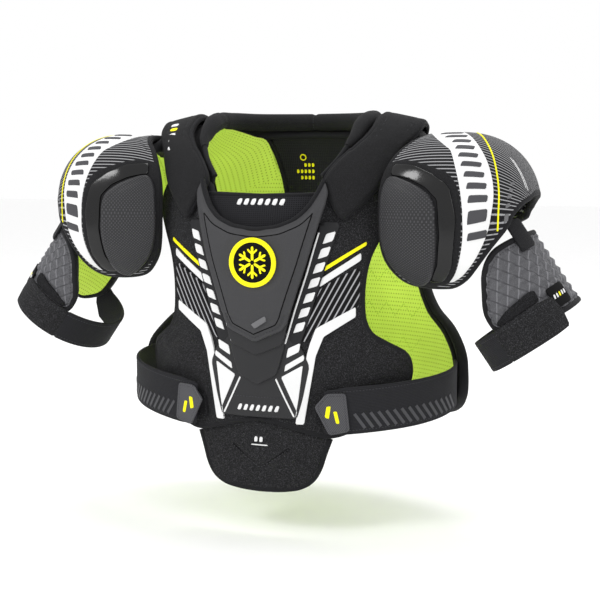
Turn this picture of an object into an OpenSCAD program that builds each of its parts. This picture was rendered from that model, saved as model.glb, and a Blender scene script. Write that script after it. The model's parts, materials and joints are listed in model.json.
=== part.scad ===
// Hockey shoulder pads. Millimetres, +Z up, -Y is the wearer's front, +X the wearer's left.
// The origin lies midway between the two places where the pads rest on the shoulders.

/* [Torso] */
// Half width of the front section, at its lining
front_half_w = 165; // [160:1:175]
// Depth of the front section, from the arm line to the breastbone lining
front_depth = 104; // [96:1:110]
// Half width of the back section, at its lining
back_half_w = 203; // [200:1:212]
// Depth of the back section, from the arm line to the lining
back_depth = 105; // [98:1:112]
// Height of the shoulder line above the level where the chest turns vertical
shoulder_rise = 153; // [148:1:158]
// Fall of the shoulder line for each mm outside the neck
shoulder_fall = 0.2; // [0.15:0.01:0.25]
// Thickness of the padded panels
panel_t = 7; // [5:0.5:8]
// Thickness of the lining
liner_t = 2.5; // [1.5:0.5:2.5]

/* [Neck] */
// Radius of the padded collar roll
roll_r = 11; // [10:0.5:12]
// Distance of the roll from the middle plane, at the shoulders
roll_x = 95; // [94:1:96]

/* [Shoulder caps] */
// Distance of the cap's centre from the middle plane
cap_x = 205; // [203:1:208]
// Height of the cap's centre
cap_z = -98; // [-100:1:-96]
// Reach of the cap to the side of its centre
cap_side_r = 88; // [86:1:90]
// Reach of the cap in front of and behind its centre
cap_fore_r = 98; // [96:1:100]
// Reach of the cap above and below its centre
cap_rise_r = 92; // [90:1:94]
// Thickness of the cap's padded cover
cap_cover_t = 7; // [6:0.5:7]

/* [Bicep guards] */
// Angle between the upper arm and the vertical
arm_out = 35; // [34:0.5:36]
// Half width of the guard across the arm
guard_side_r = 60; // [58:1:62]
// Half depth of the guard across the arm
guard_fore_r = 68; // [66:1:70]
// Thickness of the guard's padded shell
guard_t = 6; // [4:0.5:6]
// Width of the arm strap
arm_strap_w = 38; // [32:1:40]

/* [Side straps] */
// Width of the elastic side strap
side_strap_w = 50; // [44:1:54]
// Thickness of the elastic side strap
side_strap_t = 3; // [2:0.5:3.5]

/* [Hidden] */

// Height of the shoulder line beside the neck
shoulder_top = 3;
// Level where the chest turns vertical
chest_z = shoulder_top - shoulder_rise;
// Distance from the middle where the shoulder line starts to fall
neck_x = 90;
// Step used to find a surface's slope
slope_step = 0.5;
// Gap between layers that are sewn together
seam = 0.5;

// Colours
black_cloth = "#232325";
black_pad = "#2b2b2d";
charcoal = "#4a4a4c";
lime = "#b9e04b";
guard_grey = "#6d6d70";
white_film = "#f0f0f0";
yellow_film = "#fff01e";

// Layers of the front section, measured outwards from its base surface
panel_from = liner_t + 1.5 * seam;
panel_to = panel_from + panel_t;
film_from = panel_to + 2 * seam;
film_to = film_from + 2.5;
low_plate_from = film_to + 1;
low_plate_to = low_plate_from + 2.5;
high_plate_from = low_plate_to + seam;
high_plate_to = high_plate_from + 2.5;
shield_from = high_plate_to + seam;
shield_to = shield_from + 6;

// ---- Surfaces ----

function unit(v) = v / norm(v);
function mix(a, b, f) = a + (b - a) * f;
function power(v, p) = v < 0 ? -pow(-v, p) : pow(v, p);
function round_off(c, n) = pow(max(0, 1 - pow(abs(c), n)), 1 / n);
function shoulder_z(x) = shoulder_top - shoulder_fall * max(0, abs(x) - neck_x);

// How far up the rounded part of the torso a height lies, 0 to 1
function climb(x, z) = max(0, (z - chest_z) / (shoulder_z(x) - chest_z));
// The back stays upright near the neck, and rounds over the shoulders beside it
function back_power(x) = 2 + 3 * max(0, min(1, (110 - abs(x)) / 90));

function front_edge(x) = front_depth * sqrt(max(0, 1 - pow(x / front_half_w, 2)));
function back_edge(x) = back_depth * sqrt(max(0, 1 - pow(x / back_half_w, 2)));

// Front surface by [x, z], back surface by [-x, z], and shoulder surface by [x, turn]
front_at = function(x, z) [x, -front_edge(x) * round_off(climb(x, z), 2), z];
back_at = function(u, z) [-u, back_edge(u) * round_off(climb(u, z), back_power(u)), z];
over_at = function(x, turn)
    [x, -(turn < 90 ? front_edge(x) : back_edge(x)) * cos(turn),
        chest_z + (shoulder_z(x) - chest_z) * sin(turn)];

// Outward direction of surface f at [u, v]
function facing(f, u, v) =
    unit(cross(f(u + slope_step, v) - f(u - slope_step, v), f(u, v + slope_step) - f(u, v - slope_step)));

// Closed slab between the offsets a and b of surface f, over a grid of [u, v] rows.
// Cells of the middle column are left out from row split upwards, as at a neck opening,
// and the cells' diagonals mirror each other across the middle plane.
module slab(f, rows, a, b, split = 1000) {
    n = len(rows[0]);
    m = len(rows);
    middle = floor((n - 2) / 2);
    has = function(i, j)
        i >= 0 && j >= 0 && i < n - 1 && j < m - 1 && !(i == middle && j >= split && n % 2 == 0);
    low = [for (row = rows) for (p = row) f(p[0], p[1]) + a * facing(f, p[0], p[1])];
    high = [for (row = rows) for (p = row) f(p[0], p[1]) + b * facing(f, p[0], p[1])];
    top = n * m;
    at = function(i, j) j * n + i;
    cells = [for (j = [0 : m - 2]) for (i = [0 : n - 2]) if (has(i, j)) [i, j]];
    skins = [
        for (c = cells)
            let (p = at(c[0], c[1]), q = at(c[0] + 1, c[1]), r = at(c[0] + 1, c[1] + 1), s = at(c[0], c[1] + 1))
            each rows[c[1]][c[0] + 1][0] > 0
                ? [[p, q, r], [p, r, s], [top + p, top + r, top + q], [top + p, top + s, top + r]]
                : [[p, q, s], [q, r, s], [top + p, top + s, top + q], [top + q, top + s, top + r]]
    ];
    walls = [
        for (c = cells)
            let (i = c[0], j = c[1])
            let (p = at(i, j), q = at(i + 1, j), r = at(i + 1, j + 1), s = at(i, j + 1))
            each concat(
                has(i, j - 1) ? [] : [[p, top + q, q], [p, top + p, top + q]],
                has(i + 1, j) ? [] : [[q, top + r, r], [q, top + q, top + r]],
                has(i, j + 1) ? [] : [[r, top + s, s], [r, top + r, top + s]],
                has(i - 1, j) ? [] : [[s, top + p, p], [s, top + s, top + p]]
            )
    ];
    polyhedron(points = concat(low, high), faces = concat(skins, walls), convexity = 10);
}

// Rows from rungs [u_start, v_start, u_end, v_end], with n steps along each
function ladder(rungs, n) =
    [for (r = rungs) [for (i = [0 : n]) [mix(r[0], r[2], i / n), mix(r[1], r[3], i / n)]]];

// Rows on both sides of the middle plane, from rungs of the +X side
function ladder_both(rungs, n) =
    [for (r = rungs) concat(
        [for (i = [n : -1 : 0]) [-mix(r[0], r[2], i / n), mix(r[1], r[3], i / n)]],
        [for (i = [0 : n]) [mix(r[0], r[2], i / n), mix(r[1], r[3], i / n)]]
    )];

// Rows across the middle from rungs [half_width, v_side, v_middle], curved by power p
function ladder_bow(rungs, n, p) =
    [for (r = rungs) [for (i = [-n : n]) [r[0] * i / n, mix(r[2], r[1], pow(abs(i / n), p))]]];

// Extra rows between the given ones, k steps for each
function refine(rows, k) = concat(
    [for (j = [0 : len(rows) - 2]) for (s = [0 : k - 1])
        [for (i = [0 : len(rows[0]) - 1]) mix(rows[j][i], rows[j + 1][i], s / k)]],
    [rows[len(rows) - 1]]
);

// Smooth curve through points, k steps between each two
function smooth(pts, k) = concat(
    [for (j = [0 : len(pts) - 2]) for (s = [0 : k - 1])
        let (f = s / k, a = pts[max(0, j - 1)], b = pts[j], c = pts[j + 1], d = pts[min(len(pts) - 1, j + 2)])
        0.5 * (2 * b + (c - a) * f + (2 * a - 5 * b + 4 * c - d) * f * f + (3 * b - a - 3 * c + d) * f * f * f)],
    [pts[len(pts) - 1]]
);

// Round bar of radius r along a smooth path that never runs straight up
module bar(path, r, sides) {
    n = len(path);
    rings = [
        for (j = [0 : n - 1])
            let (ahead = unit(path[min(n - 1, j + 1)] - path[max(0, j - 1)]))
            let (side = unit(cross([0, 0, 1], ahead)))
            let (up = cross(ahead, side))
            [for (i = [0 : sides - 1]) path[j] + r * (cos(360 * i / sides) * side + sin(360 * i / sides) * up)]
    ];
    points = [for (ring = rings) each ring];
    skin = [
        for (j = [0 : n - 2]) for (i = [0 : sides - 1])
            let (p = j * sides + i, q = j * sides + (i + 1) % sides)
            each [[p, p + sides, q + sides], [p, q + sides, q]]
    ];
    start = [[for (i = [0 : sides - 1]) i]];
    finish = [[for (i = [sides - 1 : -1 : 0]) (n - 1) * sides + i]];
    polyhedron(points = points, faces = concat(skin, start, finish), convexity = 6);
}

module other_side() { mirror([1, 0, 0]) children(); }

// ---- Front section ----

front_rungs = [
    [8, -326, 86, -342], [8, -306, 128, -318], [8, -285, 149, -288], [8, -264, 152, -252],
    [8, -246, 132, -238], [8, -226, 111, -222], [8, -198, 109, -195], [8, -168, 109, -168],
    [8, -140, 116, -140], [10, -112, 130, -112], [40, -99, 135, -94], [57, -82, 131, -76],
    [66, -66, 124, -58]
];
front_split = 9;

module front_liner() {
    color(lime)
        slab(front_at, ladder_both([for (r = front_rungs) [r[0], r[1], r[2] - 1, r[3]]], 7),
            0, liner_t, front_split);
}

module front_panel() {
    color(black_pad) slab(front_at, ladder_both(front_rungs, 7), panel_from, panel_to, front_split);
}

module neck_bib() {
    color(black_cloth)
        slab(front_at, ladder_bow([[50, -122, -142], [58, -104, -128], [64, -88, -102], [64, -75, -78]], 6, 2.2),
            film_from, film_to);
}

module rib_panel() {
    color(black_cloth)
        slab(front_at, ladder([
            [45, -324, 54, -330], [43, -290, 57, -286], [41, -250, 60, -246], [39, -230, 66, -226],
            [44, -206, 103, -200], [52, -178, 104, -178], [62, -150, 105, -158]
        ], 5), film_from + seam / 2, film_to);
}

module chest_base_plate() {
    color(charcoal)
        slab(front_at, ladder_bow([[41, -323, -323], [38, -290, -290], [36, -255, -255], [34, -222, -222],
            [38, -206, -206], [43, -178, -178], [46, -160, -160]], 4, 1), film_from, film_to);
}

module sternum_backing() {
    color(black_pad)
        slab(front_at, ladder_bow([[38, -184, -184], [46, -158, -158], [55, -128, -130], [60, -100, -124],
            [60, -84, -120]], 5, 2), low_plate_from, shield_from - 2 * seam);
}

module sternum_lower_plate() {
    color(charcoal)
        slab(front_at, ladder_bow([[20, -274, -286], [24, -262, -274], [30, -240, -248], [30, -222, -226]], 4, 1.2),
            low_plate_from, low_plate_to);
}

module sternum_upper_plate() {
    color(charcoal)
        slab(front_at, ladder_bow([[27, -240, -252], [30, -236, -246], [35, -216, -224], [36, -200, -204]], 4, 1.2),
            high_plate_from, high_plate_to);
}

module sternum_shield() {
    color(charcoal)
        slab(front_at, ladder_bow([[26, -224, -237], [32, -214, -226], [42, -183, -190], [52, -150, -156],
            [62, -115, -138], [70, -86, -127], [66, -67, -119]], 7, 2), shield_from, shield_to);
}

emblem_z = -148;
emblem_r = 27;
emblem_from = front_depth + shield_to + 0.6;

module sternum_emblem() {
    color(yellow_film)
        translate([0, -emblem_from, emblem_z]) rotate([90, 0, 0]) difference() {
            cylinder(r = emblem_r, h = 2, $fn = 64);
            translate([0, 0, 1]) cylinder(r = emblem_r - 5, h = 2, $fn = 64);
        }
}

// ---- Belly flap ----

flap_t = 6;

module belly_hook_strip() {
    color(black_cloth)
        slab(front_at, ladder_bow([[60, -352, -346], [60, -334, -322]], 5, 2), -3, -seam);
}

module belly_flap() {
    color(black_pad)
        slab(front_at, ladder_bow([[46, -402, -407], [60, -392, -403], [68, -370, -378], [77, -351, -338]], 6, 2),
            0.3, 0.3 + flap_t);
}

// ---- Neck and shoulders ----

roll_points = [
    [-90, -50, -14], [-93, -28, 1], [-roll_x, 0, 9], [-90, 34, 10], [-68, 64, 9], [-36, 82, 9],
    [0, 87, 9], [36, 82, 9], [68, 64, 9], [90, 34, 10], [roll_x, 0, 9], [93, -28, 1], [90, -50, -14]
];

module collar_roll() {
    color(black_cloth) bar(smooth(roll_points, 3), roll_r, 12);
}

module neck_piping() {
    color(black_cloth) bar(smooth([[86, -61, -22], [78, -72, -37], [64, -83, -55]], 3), 3, 8);
}

module shoulder_bridge() {
    color(black_cloth)
        slab(over_at, ladder([
            [98, 40, 128, 40], [102, 50, 132, 50], [108, 64, 142, 64], [113, 78, 152, 78], [113, 90, 155, 90],
            [113, 102, 152, 102], [112, 112, 146, 112], [112, 120, 142, 120]
        ], 3), 0, 8);
}

module yoke_pad() {
    color(black_pad)
        slab(over_at, refine(ladder([
            [84, 19, 90, 19], [74, 26, 110, 26], [66, 33, 120, 33], [70, 40, 127, 40], [90, 49, 133, 49],
            [106, 60, 142, 60], [108, 75, 153, 75], [109, 90, 158, 90], [109, 105, 154, 105], [109, 120, 142, 120]
        ], 5), 2), film_from + seam, film_from + 8);
}

// ---- Back section ----

back_rungs = [
    [18.5, -350, 150, -346], [18.5, -330, 192, -332], [18.5, -300, 199, -298], [18.5, -272, 197, -264],
    [18.5, -246, 178, -236], [18.5, -218, 154, -214], [18.5, -186, 142, -184], [18.5, -150, 134, -148],
    [18.5, -110, 132, -108], [18.5, -72, 134, -76], [18.5, -50, 134, -60], [18.5, -32, 124, -50], [18.5, -17, 96, -40]
];
back_liner_t = 4;
back_panel_from = back_liner_t + 3 * seam;
back_panel_to = back_panel_from + panel_t;
back_plate_from = back_panel_to + seam;
back_plate_to = back_plate_from + 5;

module back_panel() {
    color(black_pad) slab(back_at, ladder_both(back_rungs, 6), back_panel_from, back_panel_to);
}

// The liner of the -X half; the back surface is laid out by -x
module back_liner() {
    color(lime)
        slab(back_at, ladder([for (r = back_rungs) [r[0], r[1], r[2] - 1, r[3]]], 6), 0, back_liner_t);
}

module spine_strip() {
    color(black_cloth)
        slab(back_at, ladder_bow([for (r = back_rungs) [r[0] - seam, r[1], r[1]]], 2, 1), 0, back_liner_t);
}

module spine_plate(z_low, z_high, half_w) {
    color(charcoal)
        slab(back_at, refine(ladder_bow([[half_w * 0.8, z_low + 8, z_low], [half_w, z_low + 22, z_low + 18],
            [half_w, z_high - 12, z_high - 12], [half_w * 0.85, z_high, z_high]], 4, 2), 2),
            back_plate_from, back_plate_to);
}
module spine_plate_upper() { spine_plate(-132, -52, 44); }
module spine_plate_middle() { spine_plate(-222, -136, 38); }
module spine_plate_lower() { spine_plate(-322, -226, 44); }

module scapula_pad() {
    color(black_pad)
        slab(back_at, refine(ladder([
            [64, -190, 96, -196], [56, -164, 122, -160], [54, -128, 128, -120], [56, -92, 128, -90], [66, -70, 120, -72]
        ], 4), 2), back_plate_from, back_plate_to);
}

// ---- Side straps ----

strap_half_w = 197;
strap_depth = 121;
strap_back_z = -296;
strap_front_z = -311;
strap_back_turn = 96;
strap_front_turn = 34;
tab_turn = 21;
tab_from = side_strap_t + seam;

// Strap surface by [turn round the torso from its front, height above the strap's middle line]
strap_at = function(turn, h)
    let (f = (strap_back_turn - turn) / (strap_back_turn - strap_front_turn))
    [strap_half_w * sin(turn), -strap_depth * cos(turn), mix(strap_back_z, strap_front_z, f) + h];

module side_strap() {
    h = side_strap_w / 2;
    color(black_cloth)
        slab(strap_at, [for (row = [-h, -h / 2, 0, h / 2, h])
            [for (i = [0 : 15]) [mix(strap_front_turn - 12, strap_back_turn, i / 15), row]]], 0, side_strap_t);
}

module side_tab() {
    color(guard_grey)
        slab(strap_at, [for (row = [-26, -12, 2, 16]) [for (i = [0 : 3]) [tab_turn + i * 3.4 + row * 0.12, row]]],
            tab_from, tab_from + 2.5);
}

module loop_patch() {
    color(black_cloth)
        slab(front_at, ladder([[62, -334, 96, -330], [62, -318, 100, -312], [62, -300, 100, -296]], 4),
            film_from, film_from + 1.5);
}

// ---- Shoulder caps ----

cap_y = -8;
cap_middle_r = 110;
cap_round = 2 / 2.6;
cap_side_round = 2 / 2.2;
cap_middle_round = 2 / 2.5;

// Cap surface, d below its outer skin, by [turn from the front over the top, swing out from the centre]
function cap_at(d) = function(turn, swing)
    let (inner = swing < 0, e = inner ? cap_middle_round : cap_side_round)
    let (k = pow(max(0.02, cos(swing)), e))
    [cap_x + ((inner ? cap_middle_r : cap_side_r) - d) * power(sin(swing), e),
        cap_y - (cap_fore_r - d) * k * power(cos(turn), cap_round),
        cap_z + (cap_rise_r - d) * k * power(sin(turn), cap_round)];

// Each rung runs across the cap, from its edge at the neck side to its outer edge
cap_rungs = [
    [-52, -20, -52, 2], [-42, -28, -42, 12], [-30, -34, -30, 20], [-16, -37, -16, 31], [-2, -38, -2, 46],
    [14, -38, 14, 60], [30, -35, 30, 69], [50, -28, 50, 73], [68, -19, 68, 75], [90, -13, 90, 76],
    [112, -16, 112, 75], [135, -21, 135, 73], [158, -24, 158, 66], [184, -22, 184, 48]
];

// Slab between depths d_in and d_out of the cap, over rows of [turn, swing]
module cap_slab(rows, d_in, d_out) {
    n = len(rows[0]);
    m = len(rows);
    deep = cap_at(d_in);
    skin_out = cap_at(d_out);
    points = concat(
        [for (row = rows) for (p = row) deep(p[0], p[1])],
        [for (row = rows) for (p = row) skin_out(p[0], p[1])]
    );
    top = n * m;
    skins = [
        for (j = [0 : m - 2]) for (i = [0 : n - 2])
            let (p = j * n + i, q = p + 1, r = q + n, s = p + n)
            each [[p, q, r], [p, r, s], [top + p, top + r, top + q], [top + p, top + s, top + r]]
    ];
    ends = [
        for (i = [0 : n - 2])
            let (p = i, q = i + 1, s = (m - 1) * n + i, r = s + 1)
            each [[p, top + q, q], [p, top + p, top + q], [r, top + s, s], [r, top + r, top + s]]
    ];
    sides = [
        for (j = [0 : m - 2])
            let (p = j * n, s = p + n, q = p + n - 1, r = q + n)
            each [[q, top + r, r], [q, top + q, top + r], [s, top + p, p], [s, top + s, top + p]]
    ];
    polyhedron(points = points, faces = concat(skins, ends, sides), convexity = 10);
}

function shrink(rungs, edge) = [for (r = rungs) [r[0], r[1] + edge, r[2], r[3] - edge]];

module cap_cover() { color(black_cloth) cap_slab(ladder(cap_rungs, 9), cap_cover_t, 0); }
module cap_shell() {
    color(charcoal) cap_slab(ladder(shrink(cap_rungs, 3), 9), cap_cover_t + 4.5, cap_cover_t + 1.5);
}
module cap_liner() {
    color(lime) cap_slab(ladder(shrink(cap_rungs, 0.5), 9), cap_cover_t + 9, cap_cover_t + 5.5);
}
module cap_front_pad() {
    color(black_pad)
        cap_slab(ladder([[-46, -16, -46, -2], [-34, -24, -34, 6], [-20, -29, -20, 12], [-4, -32, -4, 16],
            [12, -31, 12, 14], [26, -26, 26, 8], [36, -18, 36, -2]], 5), -1, -7);
}
module cap_trim() {
    color(black_cloth)
        cap_slab(ladder([[-44, 1, -44, 5], [-34, 10, -34, 15], [-20, 15, -20, 21], [-4, 19, -4, 26],
            [12, 17, 12, 25], [26, 11, 26, 19], [38, 1, 38, 9]], 2), -1, -4);
}

// ---- Bicep guards ----

guard_x = 214;
guard_y = -22;
guard_z = -112;

// Surface of the guard's shell by [turn from the outer side, height along the arm];
// a turn of -90 is the front
guard_at = function(turn, high) [guard_side_r * cos(turn), guard_fore_r * sin(turn), high];

module on_arm() {
    translate([guard_x, guard_y, guard_z]) rotate([0, -arm_out, 0]) children();
}

// Rungs [turn, way down at the top edge, way down at the bottom edge]
guard_rungs = [
    [-114, 92, 112], [-102, 72, 117], [-88, 52, 122], [-70, 40, 127], [-50, 40, 132], [-28, 42, 134], [-6, 44, 134],
    [16, 44, 134], [38, 44, 132], [60, 48, 128], [80, 56, 122], [96, 68, 116]
];

// Rows go up the arm, and each row's way across goes round it
function guard_rows(rungs, n) =
    [for (i = [n : -1 : 0]) [for (r = rungs) [r[0], -mix(r[1], r[2], i / n)]]];

module bicep_guard() { color(guard_grey) on_arm() slab(guard_at, guard_rows(guard_rungs, 5), -guard_t, 0); }
module bicep_liner() {
    color(lime) on_arm()
        slab(guard_at, guard_rows([for (r = guard_rungs) [r[0], r[1] + 2, r[2] - 2]], 5),
            -guard_t - 4, -guard_t - seam);
}

// Distance down the arm from the guard's origin to the strap's lower edge
arm_strap_low = 150;

module bicep_strap() {
    color(black_cloth) on_arm()
        slab(guard_at, [for (up = [0, 0.5, 1]) [for (t = [102 : 9 : 246]) [t, up * arm_strap_w - arm_strap_low]]],
            0.5, 3.5);
}

module strap_end() {
    color(black_cloth) on_arm()
        slab(guard_at, [for (up = [0, 0.5, 1]) [for (t = [-107 : 8 : -43]) [t, up * arm_strap_w - arm_strap_low]]],
            0.5, 3.5);
}

module guard_webbing() {
    color(black_cloth) on_arm()
        slab(guard_at, [for (high = [-58, -48, -38]) [for (t = [-44 : 7 : -23]) [t, high]]], seam, 3);
}

front_liner();
front_panel();
neck_bib();
other_side() rib_panel();  // rib_panel_right
rib_panel();  // rib_panel_left
chest_base_plate();
sternum_backing();
sternum_lower_plate();
sternum_upper_plate();
sternum_shield();
sternum_emblem();
belly_hook_strip();
belly_flap();
collar_roll();
other_side() neck_piping();  // neck_piping_right
neck_piping();  // neck_piping_left
other_side() shoulder_bridge();  // shoulder_bridge_right
shoulder_bridge();  // shoulder_bridge_left
other_side() yoke_pad();  // yoke_pad_right
yoke_pad();  // yoke_pad_left
back_panel();
back_liner();  // back_liner_right
other_side() back_liner();  // back_liner_left
spine_strip();
spine_plate_upper();
spine_plate_middle();
spine_plate_lower();
scapula_pad();  // scapula_pad_right
other_side() scapula_pad();  // scapula_pad_left
other_side() loop_patch();  // loop_patch_right
loop_patch();  // loop_patch_left
other_side() side_strap();  // side_strap_right
side_strap();  // side_strap_left
other_side() side_tab();  // side_tab_right
side_tab();  // side_tab_left
other_side() cap_cover();  // cap_cover_right
cap_cover();  // cap_cover_left
other_side() cap_shell();  // cap_shell_right
cap_shell();  // cap_shell_left
other_side() cap_liner();  // cap_liner_right
cap_liner();  // cap_liner_left
other_side() cap_front_pad();  // cap_front_pad_right
cap_front_pad();  // cap_front_pad_left
other_side() cap_trim();  // cap_trim_right
cap_trim();  // cap_trim_left
other_side() bicep_guard();  // bicep_guard_right
bicep_guard();  // bicep_guard_left
other_side() bicep_liner();  // bicep_liner_right
bicep_liner();  // bicep_liner_left
other_side() bicep_strap();  // bicep_strap_right
bicep_strap();  // bicep_strap_left
other_side() strap_end();  // strap_end_right
strap_end();  // strap_end_left
other_side() guard_webbing();  // guard_webbing_right
guard_webbing();  // guard_webbing_left
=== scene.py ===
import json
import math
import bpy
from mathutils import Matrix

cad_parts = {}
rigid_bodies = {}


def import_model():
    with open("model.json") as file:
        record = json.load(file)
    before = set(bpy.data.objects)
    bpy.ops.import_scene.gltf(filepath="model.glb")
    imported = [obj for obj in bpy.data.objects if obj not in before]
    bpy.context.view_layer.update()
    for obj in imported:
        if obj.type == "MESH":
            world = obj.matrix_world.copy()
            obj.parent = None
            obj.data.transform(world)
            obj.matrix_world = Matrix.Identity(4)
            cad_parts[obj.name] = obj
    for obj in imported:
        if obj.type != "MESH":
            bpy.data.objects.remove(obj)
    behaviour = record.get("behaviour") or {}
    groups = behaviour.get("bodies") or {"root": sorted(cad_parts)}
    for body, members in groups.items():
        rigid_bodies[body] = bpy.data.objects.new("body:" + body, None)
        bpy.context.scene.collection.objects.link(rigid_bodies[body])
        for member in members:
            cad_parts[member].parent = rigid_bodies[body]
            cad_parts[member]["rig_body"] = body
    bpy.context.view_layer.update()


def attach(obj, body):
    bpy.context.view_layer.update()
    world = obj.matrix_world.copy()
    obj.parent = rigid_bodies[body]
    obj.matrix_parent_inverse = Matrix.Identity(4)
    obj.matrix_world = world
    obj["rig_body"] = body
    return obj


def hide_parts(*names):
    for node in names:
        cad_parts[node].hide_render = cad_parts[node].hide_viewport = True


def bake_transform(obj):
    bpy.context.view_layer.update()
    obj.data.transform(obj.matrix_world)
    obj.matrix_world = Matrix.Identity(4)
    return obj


bl_info = {
    "name": "Hockey Shoulder Pads",
    "version": (1, 0, 0),
    "blender": (4, 5, 0),
    "location": "3D View > Sidebar > Shoulder Pads",
    "description": "Builds padded ice hockey shoulder pads around their working frame",
    "category": "Object",
}

import bpy
import numpy as np
from bpy.props import FloatProperty, FloatVectorProperty, IntProperty, PointerProperty
from mathutils import Vector, geometry

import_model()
MM = 0.001

# ---------------------------------------------------------------- body surfaces, in millimetres

FRONT_HALF, FRONT_DEPTH, BACK_HALF, BACK_DEPTH = 165.0, 104.0, 203.0, 105.0
CHEST_Z, SHOULDER_TOP, FALL, NECK_X = -150.0, 3.0, 0.2, 90.0
CAP_AT, CAP_IN, CAP_OUT, CAP_DEPTH, CAP_HIGH, CAP_ROUND = (205, -8, -98), 110, 88, 98, 92, 2 / 2.6
GUARD_AT, GUARD_WIDE, GUARD_DEPTH, ARM_LEAN = (214, -22, -112), 60, 68, 35
STRAP_WIDE, STRAP_DEPTH, STRAP_Z, STRAP_FALL = 197, 121, -296, 15
EMBLEM_Y = -131.35


def signed_power(value, power):
    return np.sign(value) * np.abs(value) ** power


def front_edge(x):
    return FRONT_DEPTH * np.sqrt(np.maximum(1e-4, 1 - (x / FRONT_HALF) ** 2))


def back_edge(x):
    return BACK_DEPTH * np.sqrt(np.maximum(1e-4, 1 - (x / BACK_HALF) ** 2))


def shoulder_z(x):
    return SHOULDER_TOP - FALL * np.maximum(0, np.abs(x) - NECK_X)


def climb(x, z):
    return np.clip((z - CHEST_Z) / (shoulder_z(x) - CHEST_Z), 0, 1)


def front(x, z):
    return np.stack([x, -front_edge(x) * np.sqrt(np.maximum(1e-4, 1 - climb(x, z) ** 2)), z], -1)


def back(x, z):
    inwards = (110 - np.abs(x)) / 90
    bend = 2 + 3 * np.minimum(1, (inwards + np.sqrt(inwards ** 2 + 0.015)) / 2)
    return np.stack([x, back_edge(x) * np.maximum(1e-4, 1 - climb(x, z) ** bend) ** (1 / bend), z], -1)


def over(x, turn):
    t = np.radians(turn)
    edge = np.where(turn < 90, front_edge(x), back_edge(x))
    return np.stack([x, -edge * np.cos(t), CHEST_Z + (shoulder_z(x) - CHEST_Z) * np.sin(t)], -1)


def cap(turn, swing):
    t, w = np.radians(turn), np.radians(swing)
    bend = np.where(swing < 0, 2 / 2.5, 2 / 2.2)
    reach = np.maximum(0.02, np.cos(w)) ** bend
    x = CAP_AT[0] + np.where(swing < 0, CAP_IN, CAP_OUT) * signed_power(np.sin(w), bend)
    y = CAP_AT[1] - CAP_DEPTH * reach * signed_power(np.cos(t), CAP_ROUND)
    return np.stack([x, y, CAP_AT[2] + CAP_HIGH * reach * signed_power(np.sin(t), CAP_ROUND)], -1)


def guard(turn, high):
    t, lean = np.radians(turn), math.radians(ARM_LEAN)
    lx, ly = GUARD_WIDE * np.cos(t), GUARD_DEPTH * np.sin(t)
    return np.stack([GUARD_AT[0] + lx * math.cos(lean) - high * math.sin(lean), ly + GUARD_AT[1],
                     GUARD_AT[2] + lx * math.sin(lean) + high * math.cos(lean)], -1)


def side(turn, high):
    t = np.radians(turn)
    drop = STRAP_Z - STRAP_FALL * (96 - turn) / 62
    return np.stack([STRAP_WIDE * np.sin(t), -STRAP_DEPTH * np.cos(t), drop + high], -1)


def disc(x, z):
    return np.stack([x, np.full_like(x, EMBLEM_Y), z], -1)


class Skin:
    """A surface with outward normals and the millimetres that one step of each parameter covers."""

    def __init__(self, place, centre, u_mm=1.0, v_mm=1.0):
        self.place, self.centre, self.scale = place, np.array(centre, float), np.array([u_mm, v_mm])

    def at(self, uv, lift):
        """Points at these places, lifted along their normals, and the normals."""
        u, v = uv[:, 0].astype(float), uv[:, 1].astype(float)
        e = 0.5
        du = self.place(u + e, v) - self.place(u - e, v)
        dv = self.place(u, v + e) - self.place(u, v - e)
        normal = np.cross(du, dv)
        normal /= np.maximum(1e-9, np.linalg.norm(normal, axis=1))[:, None]
        point = self.place(u, v)
        if np.sum(normal * (point - self.centre)) < 0:
            normal = -normal
        return point + normal * np.reshape(lift, (-1, 1)), normal


FRONT = Skin(front, (0, 0, -200))
BACK = Skin(back, (0, 0, -200))
OVER = Skin(over, (120, 0, -150), 1.0, 2.2)
CAP = Skin(cap, (200, -8, -98), 1.66, 1.7)
GUARD = Skin(guard, (270, -22, -200), 1.12, 1.0)
SIDE = Skin(side, (0, 0, -300), 2.9, 1.0)
DISC = Skin(disc, (0, 0, -150))

# ---------------------------------------------------------------- outlines


def rounded(points, radius, closed=True):
    """The outline with each corner turned into a short bend of about the given radius."""
    pts = np.array(points, float)
    count, out = len(pts), []
    for i in range(count):
        if not closed and i in (0, count - 1):
            out.append(pts[i])
            continue
        a, b, c = pts[i - 1], pts[i], pts[(i + 1) % count]
        la, lc = np.linalg.norm(a - b), np.linalg.norm(c - b)
        r = min(radius, la * 0.48, lc * 0.48)
        p, q = b + (a - b) * r / la, b + (c - b) * r / lc
        for t in (0, 0.25, 0.5, 0.75, 1):
            out.append((1 - t) ** 2 * p + 2 * t * (1 - t) * b + t * t * q)
    return np.array(out)


def curved(points, count, closed=False):
    """A smooth curve through the points."""
    pts = np.array(points, float)
    n, out = len(pts), []
    for i in range(n if closed else n - 1):
        a, b, c, d = (pts[(i + k) % n] if closed else pts[min(n - 1, max(0, i + k))] for k in (-1, 0, 1, 2))
        for s in range(count):
            t = s / count
            out.append(0.5 * (2 * b + (c - a) * t + (2 * a - 5 * b + 4 * c - d) * t * t
                              + (3 * b - a - 3 * c + d) * t ** 3))
    if not closed:
        out.append(pts[-1])
    return np.array(out)


def paced(pts, step, closed=True):
    """Points at even distances along a line."""
    pts = np.asarray(pts, float)
    if closed:
        pts = np.vstack([pts, pts[:1]])
    gap = np.linalg.norm(np.diff(pts, axis=0), axis=1)
    pts = pts[np.r_[True, gap > 1e-6]]
    run = np.r_[0, np.cumsum(np.linalg.norm(np.diff(pts, axis=0), axis=1))]
    count = max(3 if closed else 1, int(round(run[-1] / step)))
    where = np.linspace(0, run[-1], count + 1)
    out = np.stack([np.interp(where, run, pts[:, k]) for k in range(pts.shape[1])], 1)
    return out[:-1] if closed else out


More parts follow.
